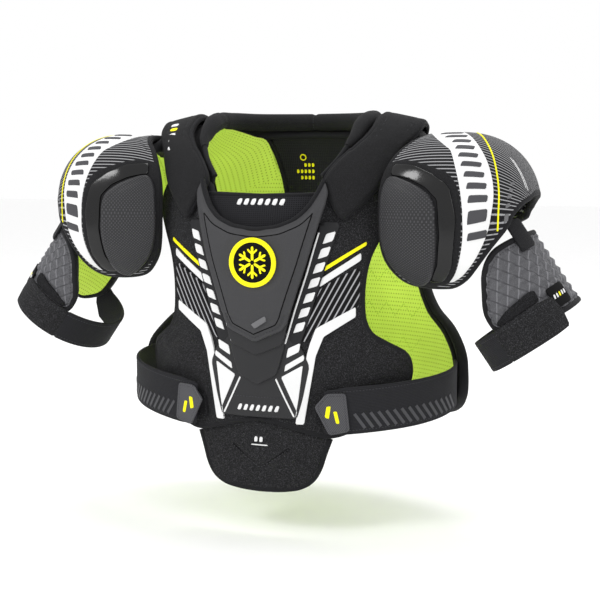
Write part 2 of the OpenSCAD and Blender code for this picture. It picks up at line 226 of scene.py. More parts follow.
def edge_distance(points, outline):
    """How far each point is from the nearest side of the outline."""
    a, b = outline, np.roll(outline, -1, axis=0)
    best = np.full(len(points), 1e9)
    for p, q in zip(a, b):
        d = q - p
        t = np.clip(((points - p) @ d) / max(1e-12, d @ d), 0, 1)
        best = np.minimum(best, np.linalg.norm(points - p - t[:, None] * d, axis=1))
    return best


def inside(points, outline):
    """Which points lie within the outline."""
    x, y = points[:, 0], points[:, 1]
    hit = np.zeros(len(points), bool)
    for (ax, ay), (bx, by) in zip(outline, np.roll(outline, -1, axis=0)):
        if ay == by:
            continue
        hit ^= ((ay > y) != (by > y)) & (x < (bx - ax) * (y - ay) / (by - ay) + ax)
    return hit


def inset(outline, distance):
    """The outline moved inwards, without the points that would cross over at tight corners."""
    a, b = np.roll(outline, 1, axis=0), np.roll(outline, -1, axis=0)
    d = b - a
    normal = np.stack([-d[:, 1], d[:, 0]], 1) / np.maximum(1e-9, np.linalg.norm(d, axis=1))[:, None]
    area = np.sum(outline[:, 0] * b[:, 1] - b[:, 0] * outline[:, 1])
    moved = outline + normal * distance * (1 if area > 0 else -1)
    keep = inside(moved, outline) & (edge_distance(moved, outline) > distance * 0.93)
    return moved[keep]


# ---------------------------------------------------------------- meshes

# Along a tape: between its points, how square its section is, and what it stands past the edge it wraps
TAPE_STEP, TAPE_SQUARE, TAPE_OVERLAP = 3.0, 3.0, 1.4
# In a patch: from row to row of its even triangles, the rim's largest share of its thickness, and its thinnest
ROW_SHARE, RIM_SHARE, THINNEST = 0.866, 0.85, 0.3
CLOTH_FRAMES, CLOTH_STIFF = 18, 12


def finished(name, verts, faces, uvs, look, slot=None, sharp=38, side=None, body="torso", node=None, fill=None):
    """A piece in metres from vertices in millimetres. A side is its name, which
    the piece and its node add to theirs, and its direction along X."""
    suffix, way = (f"_{side[0]}", side[1]) if side else ("", 1)
    verts = np.array(verts, float) * (way, 1, 1)
    if way < 0:
        faces = [tuple(reversed(f)) for f in faces]
    mesh = bpy.data.meshes.new(name + suffix)
    mesh.from_pydata((verts * MM).tolist(), [], [tuple(map(int, f)) for f in faces])
    layer = mesh.uv_layers.new(name="UVMap")
    index = np.empty(len(mesh.loops), int)
    mesh.loops.foreach_get("vertex_index", index)
    layer.data.foreach_set("uv", (np.array(uvs, float) * MM)[index].ravel())
    mesh.polygons.foreach_set("use_smooth", [True] * len(mesh.polygons))
    mesh.set_sharp_from_angle(angle=math.radians(sharp))
    mesh.materials.append(finishes()[look])
    piece = bpy.data.objects.new(name + suffix, mesh)
    bpy.context.scene.collection.objects.link(piece)
    if body:
        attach(piece, body)
    if node:
        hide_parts(node + suffix)
    return piece


def level(height, uv):
    """Heights above a surface, from one number or from a function of the place."""
    return height(uv[:, 0], uv[:, 1]) if callable(height) else np.full(len(uv), float(height))


def patch(name, skin, outline, low, high, look, slot, soft=1.6, step=4.0, corner=4.0, relief=None,
          hole=None, detail=None, sharp=38, **declared):
    """A closed piece cut to an outline on a surface: low and high are its two faces above the surface,
    soft the width of its rounded rim, and relief(u, v, distance) what its outer face adds."""
    s = skin.scale
    outline = np.array(outline, float) * s
    shape = paced(rounded(outline, corner) if corner else outline, step)
    loops = [shape] if hole is None else [shape, paced(np.array(hole, float) * s, step)]
    rings = [inset(shape, soft * share) for share in (0.25, 0.6, 1.0)]
    fine = detail or step
    (left, bottom), (right, top) = shape.min(0), shape.max(0)
    gx, gy = np.meshgrid(np.arange(left, right + fine, fine), np.arange(bottom, top + fine, fine * ROW_SHARE))
    gx = gx + np.where(np.arange(gx.shape[0]) % 2, fine / 2, 0)[:, None]
    grid = np.stack([gx.ravel(), gy.ravel()], 1)
    grid = grid[inside(grid, shape)]
    grid = grid[edge_distance(grid, shape) > soft + fine * 0.45]
    for loop in loops[1:]:
        grid = grid[~inside(grid, loop)]
        grid = grid[edge_distance(grid, loop) > fine * 0.4]
    points = np.vstack([*loops, *[r for r in rings if len(r)], grid])
    edges, first = [], 0
    for loop in loops:
        n = len(loop)
        edges += [(first + i, first + (i + 1) % n) for i in range(n)]
        first += n
    flat, _, faces, *_ = geometry.delaunay_2d_cdt([Vector(p) for p in points], edges, [], 0, 1e-4, False)
    flat = np.array([tuple(p) for p in flat])
    middles = np.array([flat[list(f[:3])].mean(0) for f in faces])
    kept, gap = inside(middles, shape), edge_distance(flat, shape)
    for loop in loops[1:]:
        kept &= ~inside(middles, loop)
        gap = np.minimum(gap, edge_distance(flat, loop))
    faces = [f for f, k in zip(faces, kept) if k]
    uv = flat / s
    lows, tops = level(low, uv), level(high, uv)
    drop = np.minimum(soft, (tops - lows) * RIM_SHARE)
    tops = tops - drop * (1 - np.sqrt(np.maximum(0, 1 - (1 - np.minimum(1, gap / soft)) ** 2)))
    if relief is not None:
        tops = np.maximum(lows + THINNEST, tops + relief(uv[:, 0], uv[:, 1], gap))
    outer, normal = skin.at(uv, tops)
    inner, _ = skin.at(uv, lows)
    count, made = len(flat), []
    for f in faces:
        a, b, c = f[:3]
        way = np.cross(outer[b] - outer[a], outer[c] - outer[a]) @ (normal[a] + normal[b] + normal[c])
        face = (a, b, c) if way > 0 else (a, c, b)
        made += [face, tuple(count + i for i in reversed(face))]
    border = {}
    for f in made[::2]:
        for i in range(3):
            p, q = f[i], f[(i + 1) % 3]
            if (q, p) in border:
                del border[(q, p)]
            else:
                border[(p, q)] = True
    made += [(q, p, count + p, count + q) for p, q in border]
    return finished(name, np.vstack([outer, inner]), made, np.vstack([flat, flat]), look, slot, sharp, **declared)


def frames_along(centre, normal):
    """Tangents and sideways directions of a line that has normals."""
    tangent = np.gradient(centre, axis=0)
    tangent /= np.maximum(1e-9, np.linalg.norm(tangent, axis=1))[:, None]
    across = np.cross(tangent, normal)
    across /= np.maximum(1e-9, np.linalg.norm(across, axis=1))[:, None]
    return tangent, across


def sweep(centre, across, normal, wide, tall, closed, ring, square=2.0):
    """A flattened rounded bar along a line, as vertices, faces and lengthwise UVs."""
    angles = np.linspace(0, 2 * math.pi, ring, endpoint=False)
    cx, cy = signed_power(np.cos(angles), 2 / square), signed_power(np.sin(angles), 2 / square)
    n = len(centre)
    wide = np.broadcast_to(wide, (n,))
    tall = np.broadcast_to(tall, (n,))
    verts = (centre[:, None] + across[:, None] * (cx[None, :, None] * wide[:, None, None] / 2)
             + normal[:, None] * (cy[None, :, None] * tall[:, None, None] / 2)).reshape(-1, 3)
    run = np.r_[0, np.cumsum(np.linalg.norm(np.diff(centre, axis=0), axis=1))]
    uvs = np.stack([np.repeat(run, ring), np.tile(angles * wide.mean() / 3, n)], 1)
    faces = []
    for i in range(n if closed else n - 1):
        j = (i + 1) % n
        for k in range(ring):
            m = (k + 1) % ring
            faces.append((i * ring + k, i * ring + m, j * ring + m, j * ring + k))
    if not closed:
        faces.append(tuple(range(ring))[::-1])
        faces.append(tuple((n - 1) * ring + k for k in range(ring)))
    signed = np.cross(verts[1] - verts[0], verts[ring] - verts[0]) @ (verts[0] - centre[0])
    if signed < 0:
        faces = [tuple(reversed(f)) for f in faces]
    return verts, faces, uvs


def tape(name, skin, line, low, high, wide, slot, closed=True, corner=4.0, shift=0.0, look="tape",
         **declared):
    """A binding folded over a cut edge: it wraps the edge from a little below low to a little above high."""
    s = skin.scale
    flat = paced(rounded(np.array(line, float) * s, corner, closed), TAPE_STEP, closed)
    if shift:
        moved = inset(flat, shift)
        flat = moved if len(moved) > 8 else flat
    uv = flat / s
    lows, highs = level(low, uv), level(high, uv)
    centre, normal = skin.at(uv, (lows + highs) / 2)
    if closed:
        around = np.vstack([centre[-1:], centre, centre[:1]])
        tangent = around[2:] - around[:-2]
        tangent /= np.linalg.norm(tangent, axis=1)[:, None]
        across = np.cross(tangent, normal)
        across /= np.linalg.norm(across, axis=1)[:, None]
    else:
        _, across = frames_along(centre, normal)
    shape = sweep(centre, across, normal, wide, highs - lows + TAPE_OVERLAP, closed, 12, TAPE_SQUARE)
    return finished(name, *shape, look, slot, 60, **declared)


def loft(name, rows, thick, look, slot, **declared):
    """A closed sheet of even thickness through rows of points, each row as long as the others."""
    grid = np.array(rows, float)
    n, m = grid.shape[:2]
    du, dv = np.gradient(grid, axis=0), np.gradient(grid, axis=1)
    normal = np.cross(du, dv)
    normal /= np.maximum(1e-9, np.linalg.norm(normal, axis=2))[..., None]
    verts = np.vstack([(grid + normal * thick / 2).reshape(-1, 3), (grid - normal * thick / 2).reshape(-1, 3)])
    run_u = np.r_[0, np.cumsum(np.linalg.norm(np.diff(grid[:, m // 2], axis=0), axis=1))]
    run_v = np.r_[0, np.cumsum(np.linalg.norm(np.diff(grid[n // 2], axis=0), axis=1))]
    uvs = np.stack([np.repeat(run_u, m), np.tile(run_v, n)], 1)
    top, low = (lambda i, j: i * m + j), (lambda i, j: n * m + i * m + j)
    faces = []
    for i in range(n - 1):
        for j in range(m - 1):
            faces += [(top(i, j), top(i + 1, j), top(i + 1, j + 1), top(i, j + 1)),
                      (low(i, j), low(i, j + 1), low(i + 1, j + 1), low(i + 1, j))]
    for j in range(m - 1):
        faces += [(top(0, j), top(0, j + 1), low(0, j + 1), low(0, j)),
                  (top(n - 1, j + 1), top(n - 1, j), low(n - 1, j), low(n - 1, j + 1))]
    for i in range(n - 1):
        faces += [(top(i + 1, 0), top(i, 0), low(i, 0), low(i + 1, 0)),
                  (top(i, m - 1), top(i + 1, m - 1), low(i + 1, m - 1), low(i, m - 1))]
    return finished(name, verts, faces, np.vstack([uvs, uvs]), look, slot, 50, **declared)


def joined(name, parts):
    """Several pieces with one finish or more, as one object on the body of the first."""
    bpy.ops.object.select_all(action="DESELECT")
    body = parts[0].get("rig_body")
    for p in parts:
        p.select_set(True)
    bpy.context.view_layer.objects.active = parts[0]
    bpy.ops.object.join()
    parts[0].name = name
    parts[0].data.name = name
    if body:
        parts[0]["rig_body"] = body
    return parts[0]


def puffed(piece, pinned, pressure, reach):
    """Runs cloth on the piece's own mesh, held where pinned says, and keeps up to reach millimetres of the
    swelling and the creases that it makes."""
    mesh = piece.data
    co = np.array([v.co for v in mesh.vertices])
    group = piece.vertex_groups.new(name="held")
    for i, w in enumerate(pinned(co / MM)):
        if w > 0:
            group.add([i], float(w), "REPLACE")
    cloth = piece.modifiers.new("cloth", "CLOTH")
    st = cloth.settings
    st.quality, st.mass, st.vertex_group_mass = 4, 0.3, "held"
    st.tension_stiffness = st.compression_stiffness = st.shear_stiffness = CLOTH_STIFF
    st.bending_stiffness = 0.6
    st.use_pressure, st.uniform_pressure_force = True, pressure
    st.shrink_min = -0.03
    st.effector_weights.gravity = 0
    cloth.collision_settings.use_collision = False
    cloth.point_cache.frame_start, cloth.point_cache.frame_end = 1, CLOTH_FRAMES
    scene = bpy.context.scene
    for f in range(1, CLOTH_FRAMES + 1):
        scene.frame_set(f)
    shown = piece.evaluated_get(bpy.context.evaluated_depsgraph_get())
    new = np.array([v.co for v in shown.data.vertices])
    piece.modifiers.remove(cloth)
    piece.vertex_groups.remove(group)
    scene.frame_set(1)
    move = new - co
    far = np.linalg.norm(move, axis=1)
    cap_at = np.minimum(1, reach * MM / np.maximum(1e-9, far))
    mesh.vertices.foreach_set("co", (co + move * cap_at[:, None]).ravel())
    mesh.update()
    return piece


# ---------------------------------------------------------------- finishes


def linear(code):
    """Linear colour from an sRGB hex code."""
    parts = [int(code[i:i + 2], 16) / 255 for i in (1, 3, 5)]
    return tuple(c / 12.92 if c <= 0.04045 else ((c + 0.055) / 1.055) ** 2.4 for c in parts) + (1.0,)


def add(tree, kind, inputs=None, **settings):
    """One node with its settings, its input values and its links."""
    node = tree.nodes.new(kind)
    for key, value in settings.items():
        setattr(node, key, value)
    for key, value in (inputs or {}).items():
        socket = node.inputs[key]
        if isinstance(value, bpy.types.NodeSocket):
            tree.links.new(value, socket)
        else:
            socket.default_value = value
    return node


def pattern_mask(tree, kind, pitch_u, pitch_v, share, turn):
    """A mask that repeats over the piece's own flat pattern, with its pitch in millimetres."""
    uv = add(tree, "ShaderNodeUVMap", uv_map="UVMap").outputs[0]
    spun = add(tree, "ShaderNodeMapping", {"Vector": uv, "Rotation": (0, 0, math.radians(turn))}).outputs[0]
    sized = add(tree, "ShaderNodeMapping",
                {"Vector": spun, "Scale": (1000 / pitch_u, 1000 / pitch_v, 1)}).outputs[0]
    parts = add(tree, "ShaderNodeSeparateXYZ", {"Vector": sized})
    u, v = parts.outputs[0], parts.outputs[1]
    if kind == "hex":
        row = add(tree, "ShaderNodeMath", {0: v}, operation="FLOOR").outputs[0]
        odd = add(tree, "ShaderNodeMath", {0: row, 1: 2.0}, operation="FLOORED_MODULO").outputs[0]
        u = add(tree, "ShaderNodeMath", {0: odd, 1: 0.5, 2: u}, operation="MULTIPLY_ADD").outputs[0]
    away = []
    for line in (u, v):
        part = add(tree, "ShaderNodeMath", {0: line}, operation="FRACT").outputs[0]
        part = add(tree, "ShaderNodeMath", {0: part, 1: 0.5}, operation="SUBTRACT").outputs[0]
        away.append(add(tree, "ShaderNodeMath", {0: part}, operation="ABSOLUTE").outputs[0])
    gap = away[0]
    if kind in ("dots", "hex"):
        across = add(tree, "ShaderNodeCombineXYZ", {0: away[0], 1: away[1]}).outputs[0]
        gap = add(tree, "ShaderNodeVectorMath", {0: across}, operation="LENGTH").outputs["Value"]
    elif kind == "diamond":
        gap = add(tree, "ShaderNodeMath", {0: away[0], 1: away[1]}, operation="ADD").outputs[0]
    return add(tree, "ShaderNodeMapRange", {0: gap, 1: share, 2: share + 0.09, 3: 1.0, 4: 0.0},
               interpolation_type="SMOOTHSTEP").outputs[0]


def finish(name, colour, rough, grain=0.6, dents=0.25, speck=None, marks=(), sheen=0.0, edge_highlight=None,
           mottle=0.12, shine=0.12):
    """A procedural surface. grain is the size of its fine texture in millimetres and dents how deep that
    looks, speck a second fibre colour with its share, marks the patterns that lie on it, each as
    (kind, pitch u, pitch v, share, colour or None, height, turn), and a painted highlight colour, if given, pales its
    convex edges."""
    mat = bpy.data.materials.get(name)
    if mat:
        return mat
    mat = bpy.data.materials.new(name)
    mat.use_nodes = True
    tree = mat.node_tree
    shader = tree.nodes["Principled BSDF"]
    place = add(tree, "ShaderNodeTexCoord").outputs["Object"]
    fine = add(tree, "ShaderNodeTexNoise", {"Vector": place, "Scale": 1000 / grain, "Detail": 3.0,
                                            "Roughness": 0.6}).outputs[0]
    broad = add(tree, "ShaderNodeTexNoise", {"Vector": place, "Scale": 22.0, "Detail": 3.0}).outputs[0]
    base = linear(colour) if isinstance(colour, str) else tuple(colour)
    shade = add(tree, "ShaderNodeMapRange", {0: broad, 1: 0.3, 2: 0.7, 3: 1 - mottle, 4: 1 + mottle}).outputs[0]
    tint = add(tree, "ShaderNodeMix", {6: base, 7: shade, 0: 1.0}, data_type="RGBA",
               blend_type="MULTIPLY").outputs[2]
    if speck:
        fibre = add(tree, "ShaderNodeMapRange", {0: fine, 1: 0.62 - speck[1], 2: 0.8 - speck[1] * 0.6}).outputs[0]
        tint = add(tree, "ShaderNodeMix", {0: fibre, 6: tint, 7: linear(speck[0])}, data_type="RGBA").outputs[2]
    height = add(tree, "ShaderNodeMath", {0: fine, 1: dents * grain}, operation="MULTIPLY").outputs[0]
    for kind, pitch_u, pitch_v, share, mark, tall, turn in marks:
        mask = pattern_mask(tree, kind, pitch_u, pitch_v, share, turn)
        if mark:
            tint = add(tree, "ShaderNodeMix", {0: mask, 6: tint, 7: linear(mark)}, data_type="RGBA").outputs[2]
        height = add(tree, "ShaderNodeMath", {0: mask, 1: tall, 2: height}, operation="MULTIPLY_ADD").outputs[0]
    # painted highlight: convex edges, found by pointiness, blend towards the paler colour
    if edge_highlight:
        edge = add(tree, "ShaderNodeNewGeometry").outputs["Pointiness"]
        edge_highlight_mask = add(tree, "ShaderNodeMapRange", {0: edge, 1: 0.53, 2: 0.62, 3: 0.0, 4: 0.5}).outputs[0]
        tint = add(tree, "ShaderNodeMix", {0: edge_highlight_mask, 6: tint, 7: linear(edge_highlight)}, data_type="RGBA").outputs[2]
    tree.links.new(tint, shader.inputs["Base Color"])
    patchy = add(tree, "ShaderNodeMapRange", {0: broad, 1: 0.3, 2: 0.7, 3: max(0.03, rough - 0.07),
                                              4: min(1.0, rough + 0.07)}).outputs[0]
    tree.links.new(patchy, shader.inputs["Roughness"])
    bump = add(tree, "ShaderNodeBump", {"Height": height, "Strength": 1.0, "Distance": 0.001}).outputs[0]
    tree.links.new(bump, shader.inputs["Normal"])
    shader.inputs["Specular IOR Level"].default_value = shine
    shader.inputs["Sheen Weight"].default_value = sheen
    shader.inputs["Sheen Roughness"].default_value = 0.5
    mat.diffuse_color = base
    return mat


def finishes():
    """Every finish by a short name, in the colours that the panel gives."""
    tone = bpy.context.scene.pads_colours
    return {
        # brushed loop knit: dull black broken by pale fibre ends
        "panel": finish("brushed_black_loop_knit", tone.cloth, 0.93, 0.9, 0.5, ("#4b4b4e", 0.12), sheen=0.03),
        # fine black jersey on collars, yokes and roll: smoother, with a faint rib
        "jersey": finish("black_padded_jersey", tone.cloth, 0.86, 0.5, 0.3, ("#3a3a3d", 0.1),
                         (("lines", 1.1, 1.1, 0.2, None, 0.10, 45),), sheen=0.03),
        # spacer mesh at the neck: rows of small dark diamonds
        "mesh": finish("black_spacer_mesh", "#262629", 0.85, 0.5, 0.2, None,
                       (("diamond", 2.4, 2.0, 0.3, "#0b0b0c", -0.35, 0),), sheen=0.03),
        # perforated lime lining: staggered pin holes with dotted zigzags between them
        "lime": finish("lime_perforated_lining", tone.lining, 0.8, 0.5, 0.2, ("#e6ff8c", 0.08),
                       (("hex", 3.4, 5.0, 0.13, "#a9c43e", -0.45, 0),), sheen=0.03, mottle=0.05),
        # woven tape: tight cross ribs that catch a soft highlight
        "tape": finish("black_woven_binding", "#19191b", 0.72, 0.35, 0.2, ("#333336", 0.08),
                       (("lines", 1.0, 1.0, 0.28, None, 0.16, 0),), sheen=0.03),
        # ribbed elastic: lengthwise ribs, slightly brighter on their tops
        "elastic": finish("black_ribbed_elastic", "#1b1b1d", 0.82, 0.4, 0.25, ("#38383b", 0.1),
                          (("lines", 1.7, 1.7, 0.26, "#27272a", 0.22, 90),), sheen=0.03),
        # pressed charcoal foam: satin, pebbled, with a painted highlight along its convex edges
        "shield": finish("charcoal_moulded_foam_skin", tone.shield, 0.58, 0.45, 0.45, ("#4c4c4e", 0.06),
                         edge_highlight="#5c5c5e", mottle=0.06, shine=0.3),
        # smooth moulded plate: darker satin, with a painted highlight along its convex edges
        "plate": finish("charcoal_satin_plate", "#1d1d1f", 0.5, 0.35, 0.25, None, edge_highlight="#48484a", mottle=0.06,
                        shine=0.35),
        # smooth black strip behind the printed marks, with a painted highlight along its convex edges
        "rail": finish("black_smooth_laminate", "#1d1d1f", 0.62, 0.4, 0.2, None, edge_highlight="#3a3a3c", shine=0.25),
        # ribbed knit: thin grey pinstripes on black
        "rib": finish("pinstriped_rib_knit", "#121213", 0.8, 0.4, 0.3, None,
                      (("lines", 5.2, 5.2, 0.08, "#a2a2a5", 0.12, 26),), sheen=0.03),
        # cap knit: black with fine grey lines round the cap
        "cap": finish("black_pinstriped_cap_knit", "#19191b", 0.82, 0.5, 0.35, ("#303033", 0.08),
                      (("lines", 5.0, 5.0, 0.09, "#9a9a9c", 0.14, 0),), sheen=0.03),
        # printed film: bright, smooth, faintly embossed
        "white": finish("white_printed_film", tone.print_white, 0.42, 1.2, 0.08, ("#dcdcdc", 0.05), mottle=0.03),
        "yellow": finish("yellow_printed_film", tone.print_yellow, 0.42, 1.2, 0.08, None, mottle=0.04),
        "ink": finish("dark_grey_print", "#47474a", 0.5, 1.0, 0.1, None, mottle=0.05),
        "grey": finish("soft_grey_print", "#6a6a6c", 0.55, 0.8, 0.2, None, mottle=0.08),
        # pad faces: close grid of pressed dots in a rubbery skin
        "pad": finish("black_dotted_pad_skin", "#222224", 0.5, 0.4, 0.2, None,
                      (("dots", 2.2, 2.2, 0.2, "#414144", 0.2, 45),), mottle=0.08, shine=0.35),
        # patent trim: mirror-like black
        "gloss": finish("black_patent_vinyl", "#030304", 0.17, 9.0, 0.012, None, mottle=0.05, shine=0.4),
        # guard mesh: graphite weave under the pressed facets, with a painted highlight along its convex edges
        "guard": finish("graphite_weave_guard", tone.guard, 0.6, 0.5, 0.3, ("#7e7e82", 0.12),
                        (("dots", 1.3, 1.3, 0.26, "#47474a", -0.18, 30),
                         # crossing lines over the facets: the pale set is a painted highlight and the dark set a
                         # painted shade
                         ("lines", 12, 12, 0.02, "#78787c", 0.5, 38), ("lines", 12, 12, 0.02, "#48484b", -0.4, -38)),
                        edge_highlight="#8e8e92", sheen=0.03, mottle=0.1),
        # rubber grip print: fine slanted lines
        "tab": finish("grey_gripper_tab", "#59595c", 0.6, 0.4, 0.2, None,
                      (("lines", 1.8, 1.8, 0.24, "#434346", 0.15, 35),)),
        # hook and loop faces
        "hook": finish("black_hook_tape", "#141415", 0.9, 0.7, 0.7, ("#3b3b3e", 0.15),
                       (("dots", 1.8, 1.8, 0.3, None, 0.35, 0),)),
        "thread": finish("charcoal_thread", "#3e3e41", 0.6, 0.3, 0.3, None, mottle=0.2),
        "lime_thread": finish("lime_thread", "#a9d03c", 0.6, 0.3, 0.3, None, mottle=0.2),
        # black shell, with a painted highlight along its convex edges
        "shell": finish("black_polyethylene_shell", "#151517", 0.38, 0.8, 0.15, None, edge_highlight="#3a3a3d"),
        "hole": finish("matt_black_recess", "#0c0c0d", 0.8, 0.4, 0.2, None),
    }


# ---------------------------------------------------------------- repeats along lines

SEAMS = []


def seam(skin, line, lift, body="torso", closed=True, shift=0.0, corner=4.0, side=None, thread="thread"):
    """Notes a row of stitches to be sewn later, shift millimetres in from the line."""
    s = skin.scale
    flat = np.array(line, float) * s
    flat = paced(rounded(flat, corner, closed) if corner else flat, 2.0, closed)
    if shift:
        flat = inset(flat, shift)
    if len(flat) < 2:
        return
    uv = flat / s
    points, normal = skin.at(uv, lift)
    mirror = (side[1] if side else 1, 1, 1)
    SEAMS.append((body, thread, points * mirror, normal * mirror, closed))


def repeat_tree(name, shape):
    """Geometry nodes that set one small shape again and again along lines."""
    tree = bpy.data.node_groups.new(name, "GeometryNodeTree")
    face = tree.interface
    face.new_socket("Geometry", in_out="INPUT", socket_type="NodeSocketGeometry")
    for label, kind in (("Spacing", "NodeSocketFloat"), ("Size", "NodeSocketVector"),
                        ("Slant", "NodeSocketFloat"), ("Finish", "NodeSocketMaterial")):
        face.new_socket(label, in_out="INPUT", socket_type=kind)
    face.new_socket("Geometry", in_out="OUTPUT", socket_type="NodeSocketGeometry")
    start = tree.nodes.new("NodeGroupInput").outputs
    curve = add(tree, "GeometryNodeMeshToCurve", {"Mesh": start["Geometry"]}).outputs[0]
    even = add(tree, "GeometryNodeResampleCurve", {"Curve": curve, "Length": start["Spacing"]}, mode="LENGTH")
    if shape == "stitch":
        unit = add(tree, "GeometryNodeMeshUVSphere", {"Segments": 6, "Rings": 4, "Radius": 0.5}).outputs["Mesh"]
    else:
        unit = add(tree, "GeometryNodeMeshCube", {"Size": (1, 1, 1)}).outputs["Mesh"]
    smooth = add(tree, "GeometryNodeSetShadeSmooth",
                 {"Geometry": unit, "Shade Smooth": shape == "stitch"}).outputs[0]
    tangent = add(tree, "GeometryNodeInputTangent").outputs[0]
    up = add(tree, "GeometryNodeInputNamedAttribute", {"Name": "up"}, data_type="FLOAT_VECTOR").outputs[0]
    lie = add(tree, "FunctionNodeAlignRotationToVector", {"Vector": up}, axis="Z").outputs[0]
    turn = add(tree, "FunctionNodeAlignRotationToVector", {"Rotation": lie, "Vector": tangent}, axis="X",
               pivot_axis="Z").outputs[0]
    slant = add(tree, "ShaderNodeCombineXYZ", {2: start["Slant"]}).outputs[0]
    spin = add(tree, "FunctionNodeEulerToRotation", {0: slant}).outputs[0]
    whole = add(tree, "FunctionNodeRotateRotation", {"Rotation": turn, "Rotate By": spin},
                rotation_space="LOCAL").outputs[0]
    placed = add(tree, "GeometryNodeInstanceOnPoints", {"Points": even.outputs[0], "Instance": smooth,
                                                        "Rotation": whole, "Scale": start["Size"]}).outputs[0]
    real = add(tree, "GeometryNodeRealizeInstances", {"Geometry": placed}).outputs[0]
    done = add(tree, "GeometryNodeSetMaterial", {"Geometry": real, "Material": start["Finish"]}).outputs[0]
    add(tree, "NodeGroupOutput", {"Geometry": done})
    return tree


def repeated(name, tree, rows, spacing, size, slant, look, body):
    """One mesh of small shapes along every row, where a row is its points, its normals and whether it closes."""
    material = finishes()[look]
    verts, edges, ups = [], [], []
    for points, normal, closed in rows:
        first, n = len(verts), len(points)
        verts += [tuple(p * MM) for p in points]
        ups += [tuple(v) for v in normal]
        edges += [(first + i, first + i + 1) for i in range(n - 1)]
        if closed:
            edges.append((first + n - 1, first))
    line = bpy.data.meshes.new(name + "_line")
    line.from_pydata(verts, edges, [])
    line.attributes.new("up", "FLOAT_VECTOR", "POINT").data.foreach_set("vector", np.array(ups).ravel())
    carrier = bpy.data.objects.new(name + "_line", line)
    bpy.context.scene.collection.objects.link(carrier)
    modifier = carrier.modifiers.new("repeat", "NODES")
    modifier.node_group = tree
    values = {"Spacing": spacing * MM, "Size": [v * MM for v in size], "Slant": math.radians(slant),
              "Finish": material}
    for item in tree.interface.items_tree:
        if item.in_out == "INPUT" and item.name in values:
            modifier[item.identifier] = values[item.name]
    graph = bpy.context.evaluated_depsgraph_get()
    mesh = bpy.data.meshes.new_from_object(carrier.evaluated_get(graph))
    mesh.name = name
    piece = bpy.data.objects.new(name, mesh)
    bpy.context.scene.collection.objects.link(piece)
    bpy.data.objects.remove(carrier)
    if not len(mesh.materials):
        mesh.materials.append(material)
    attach(piece, body)
    return piece


# ---------------------------------------------------------------- shared layouts

PANEL_LOW, PANEL_HIGH = 3.25, 10.25
SIDES = (("left", 1), ("right", -1))

FRONT_LINE = curved([
    (0, -326), (24, -330), (48, -337), (72, -343), (88, -341), (106, -332), (126, -320), (142, -306), (150, -288),
    (152, -268), (147, -252), (132, -240), (118, -229), (111, -214), (109, -194), (110, -168), (115, -142),
    (126, -116), (134, -96), (133, -78), (124, -61)], 4)
NECK_LINE = curved([(67, -65), (62, -76), (56, -83), (40, -99), (20, -109), (0, -112)], 4)
BACK_LINE = curved([
    (0, -351), (50, -351), (110, -350), (152, -346), (176, -339), (190, -329), (198, -310), (198, -284), (194, -262),
    (178, -237), (158, -218), (146, -196), (138, -168), (134, -142), (132, -110), (134, -84), (133, -64),
    (126, -48), (113, -32), (100, -19), (84, -13), (60, -10), (20, -9), (0, -9)], 4)
CAP_LINE = curved([
    (-52, -20), (-42, -28), (-30, -34), (-16, -37), (-2, -38), (14, -38), (30, -35), (50, -28), (68, -19), (90, -13),
    (112, -16), (135, -21), (158, -24), (182, -22), (184, 12), (182, 46), (158, 66), (135, 73), (112, 75), (90, 76),
    (68, 75), (50, 73), (30, 69), (14, 60), (-2, 46), (-16, 31), (-30, 20), (-42, 12), (-52, 2), (-54, -9)], 3, True)
GUARD_LINE = curved([
    (-114, -92), (-102, -72), (-88, -52), (-70, -41), (-50, -40), (-28, -42), (-6, -44), (16, -44), (38, -44),
    (60, -48), (80, -56), (96, -68), (98, -92), (95, -116), (84, -130), (70, -139), (54, -137), (36, -134), (16, -134),
    (-6, -134), (-28, -134), (-50, -132), (-70, -127), (-88, -122), (-102, -117), (-114, -112)], 3, True)

def both(half):
    """A closed outline from its +X half, listed from one middle point to the other."""
    half = [tuple(p) for p in half]
    return half + [(-x, z) for x, z in reversed(half) if abs(x) > 1e-6]


def arch(half):
    """An open line across the middle, from its +X half, listed outwards from the middle point."""
    return [(-p[0], *p[1:]) for p in half[:0:-1]] + half


def turned(count, *radii):
    """A round outline for each radius, with this many points."""
    turn = np.radians(np.arange(0, 360, 360 / count))
    ring = np.stack([np.cos(turn), np.sin(turn)], 1)
    return [ring * radius for radius in radii]


def ribbon(line, width, scale=(1.0, 1.0)):
    """The outline of a strip of even width along a line, on a surface with this scale."""
    pts = np.array(line, float) * scale
    tangent = np.gradient(pts, axis=0)
    tangent /= np.linalg.norm(tangent, axis=1)[:, None]
    across = np.stack([-tangent[:, 1], tangent[:, 0]], 1) * width / 2
    return np.vstack([pts + across, (pts - across)[::-1]]) / scale


def film(name, skin, line, low, high, look="white", soft=0.4, step=2.4, corner=0.6, **declared):
    """A mark of printed film."""
    return patch(name, skin, line, low, high, look, "printed_film", soft, step, corner, **declared)


def bars(skin, corners, pitch, count, low, high, look="white", odd=None, **rest):
    """A row of small marks, each one pitch past the last, the odd one in yellow."""
    return [film(f"bar_{i}", skin, np.array(corners) + np.array(pitch) * i, low, high,
                 "yellow" if i == odd else look, **rest) for i in range(count)]


def groove(gap, at, width=1.2, deep=0.8):
    return -deep * np.exp(-((gap - at) / width) ** 2)


def pads():
    return bpy.context.scene.pads_sizes


ROLL_LINE = arch([
    (0, 87, 9), (36, 82, 9), (68, 64, 9), (90, 34, 10), (95, 0, 9), (93, -28, 1), (91, -48, -12), (86, -61, -22)])
CAP_PAD_LINE = curved([
    (-46, -12), (-41, -6), (-26, -3), (-6, -2), (7, -3.5), (14, -9), (20, -18), (24, -27), (18, -32), (8, -34),
    (-8, -34), (-24, -30), (-37, -22)], 4, True)

# ---------------------------------------------------------------- what the panel offers


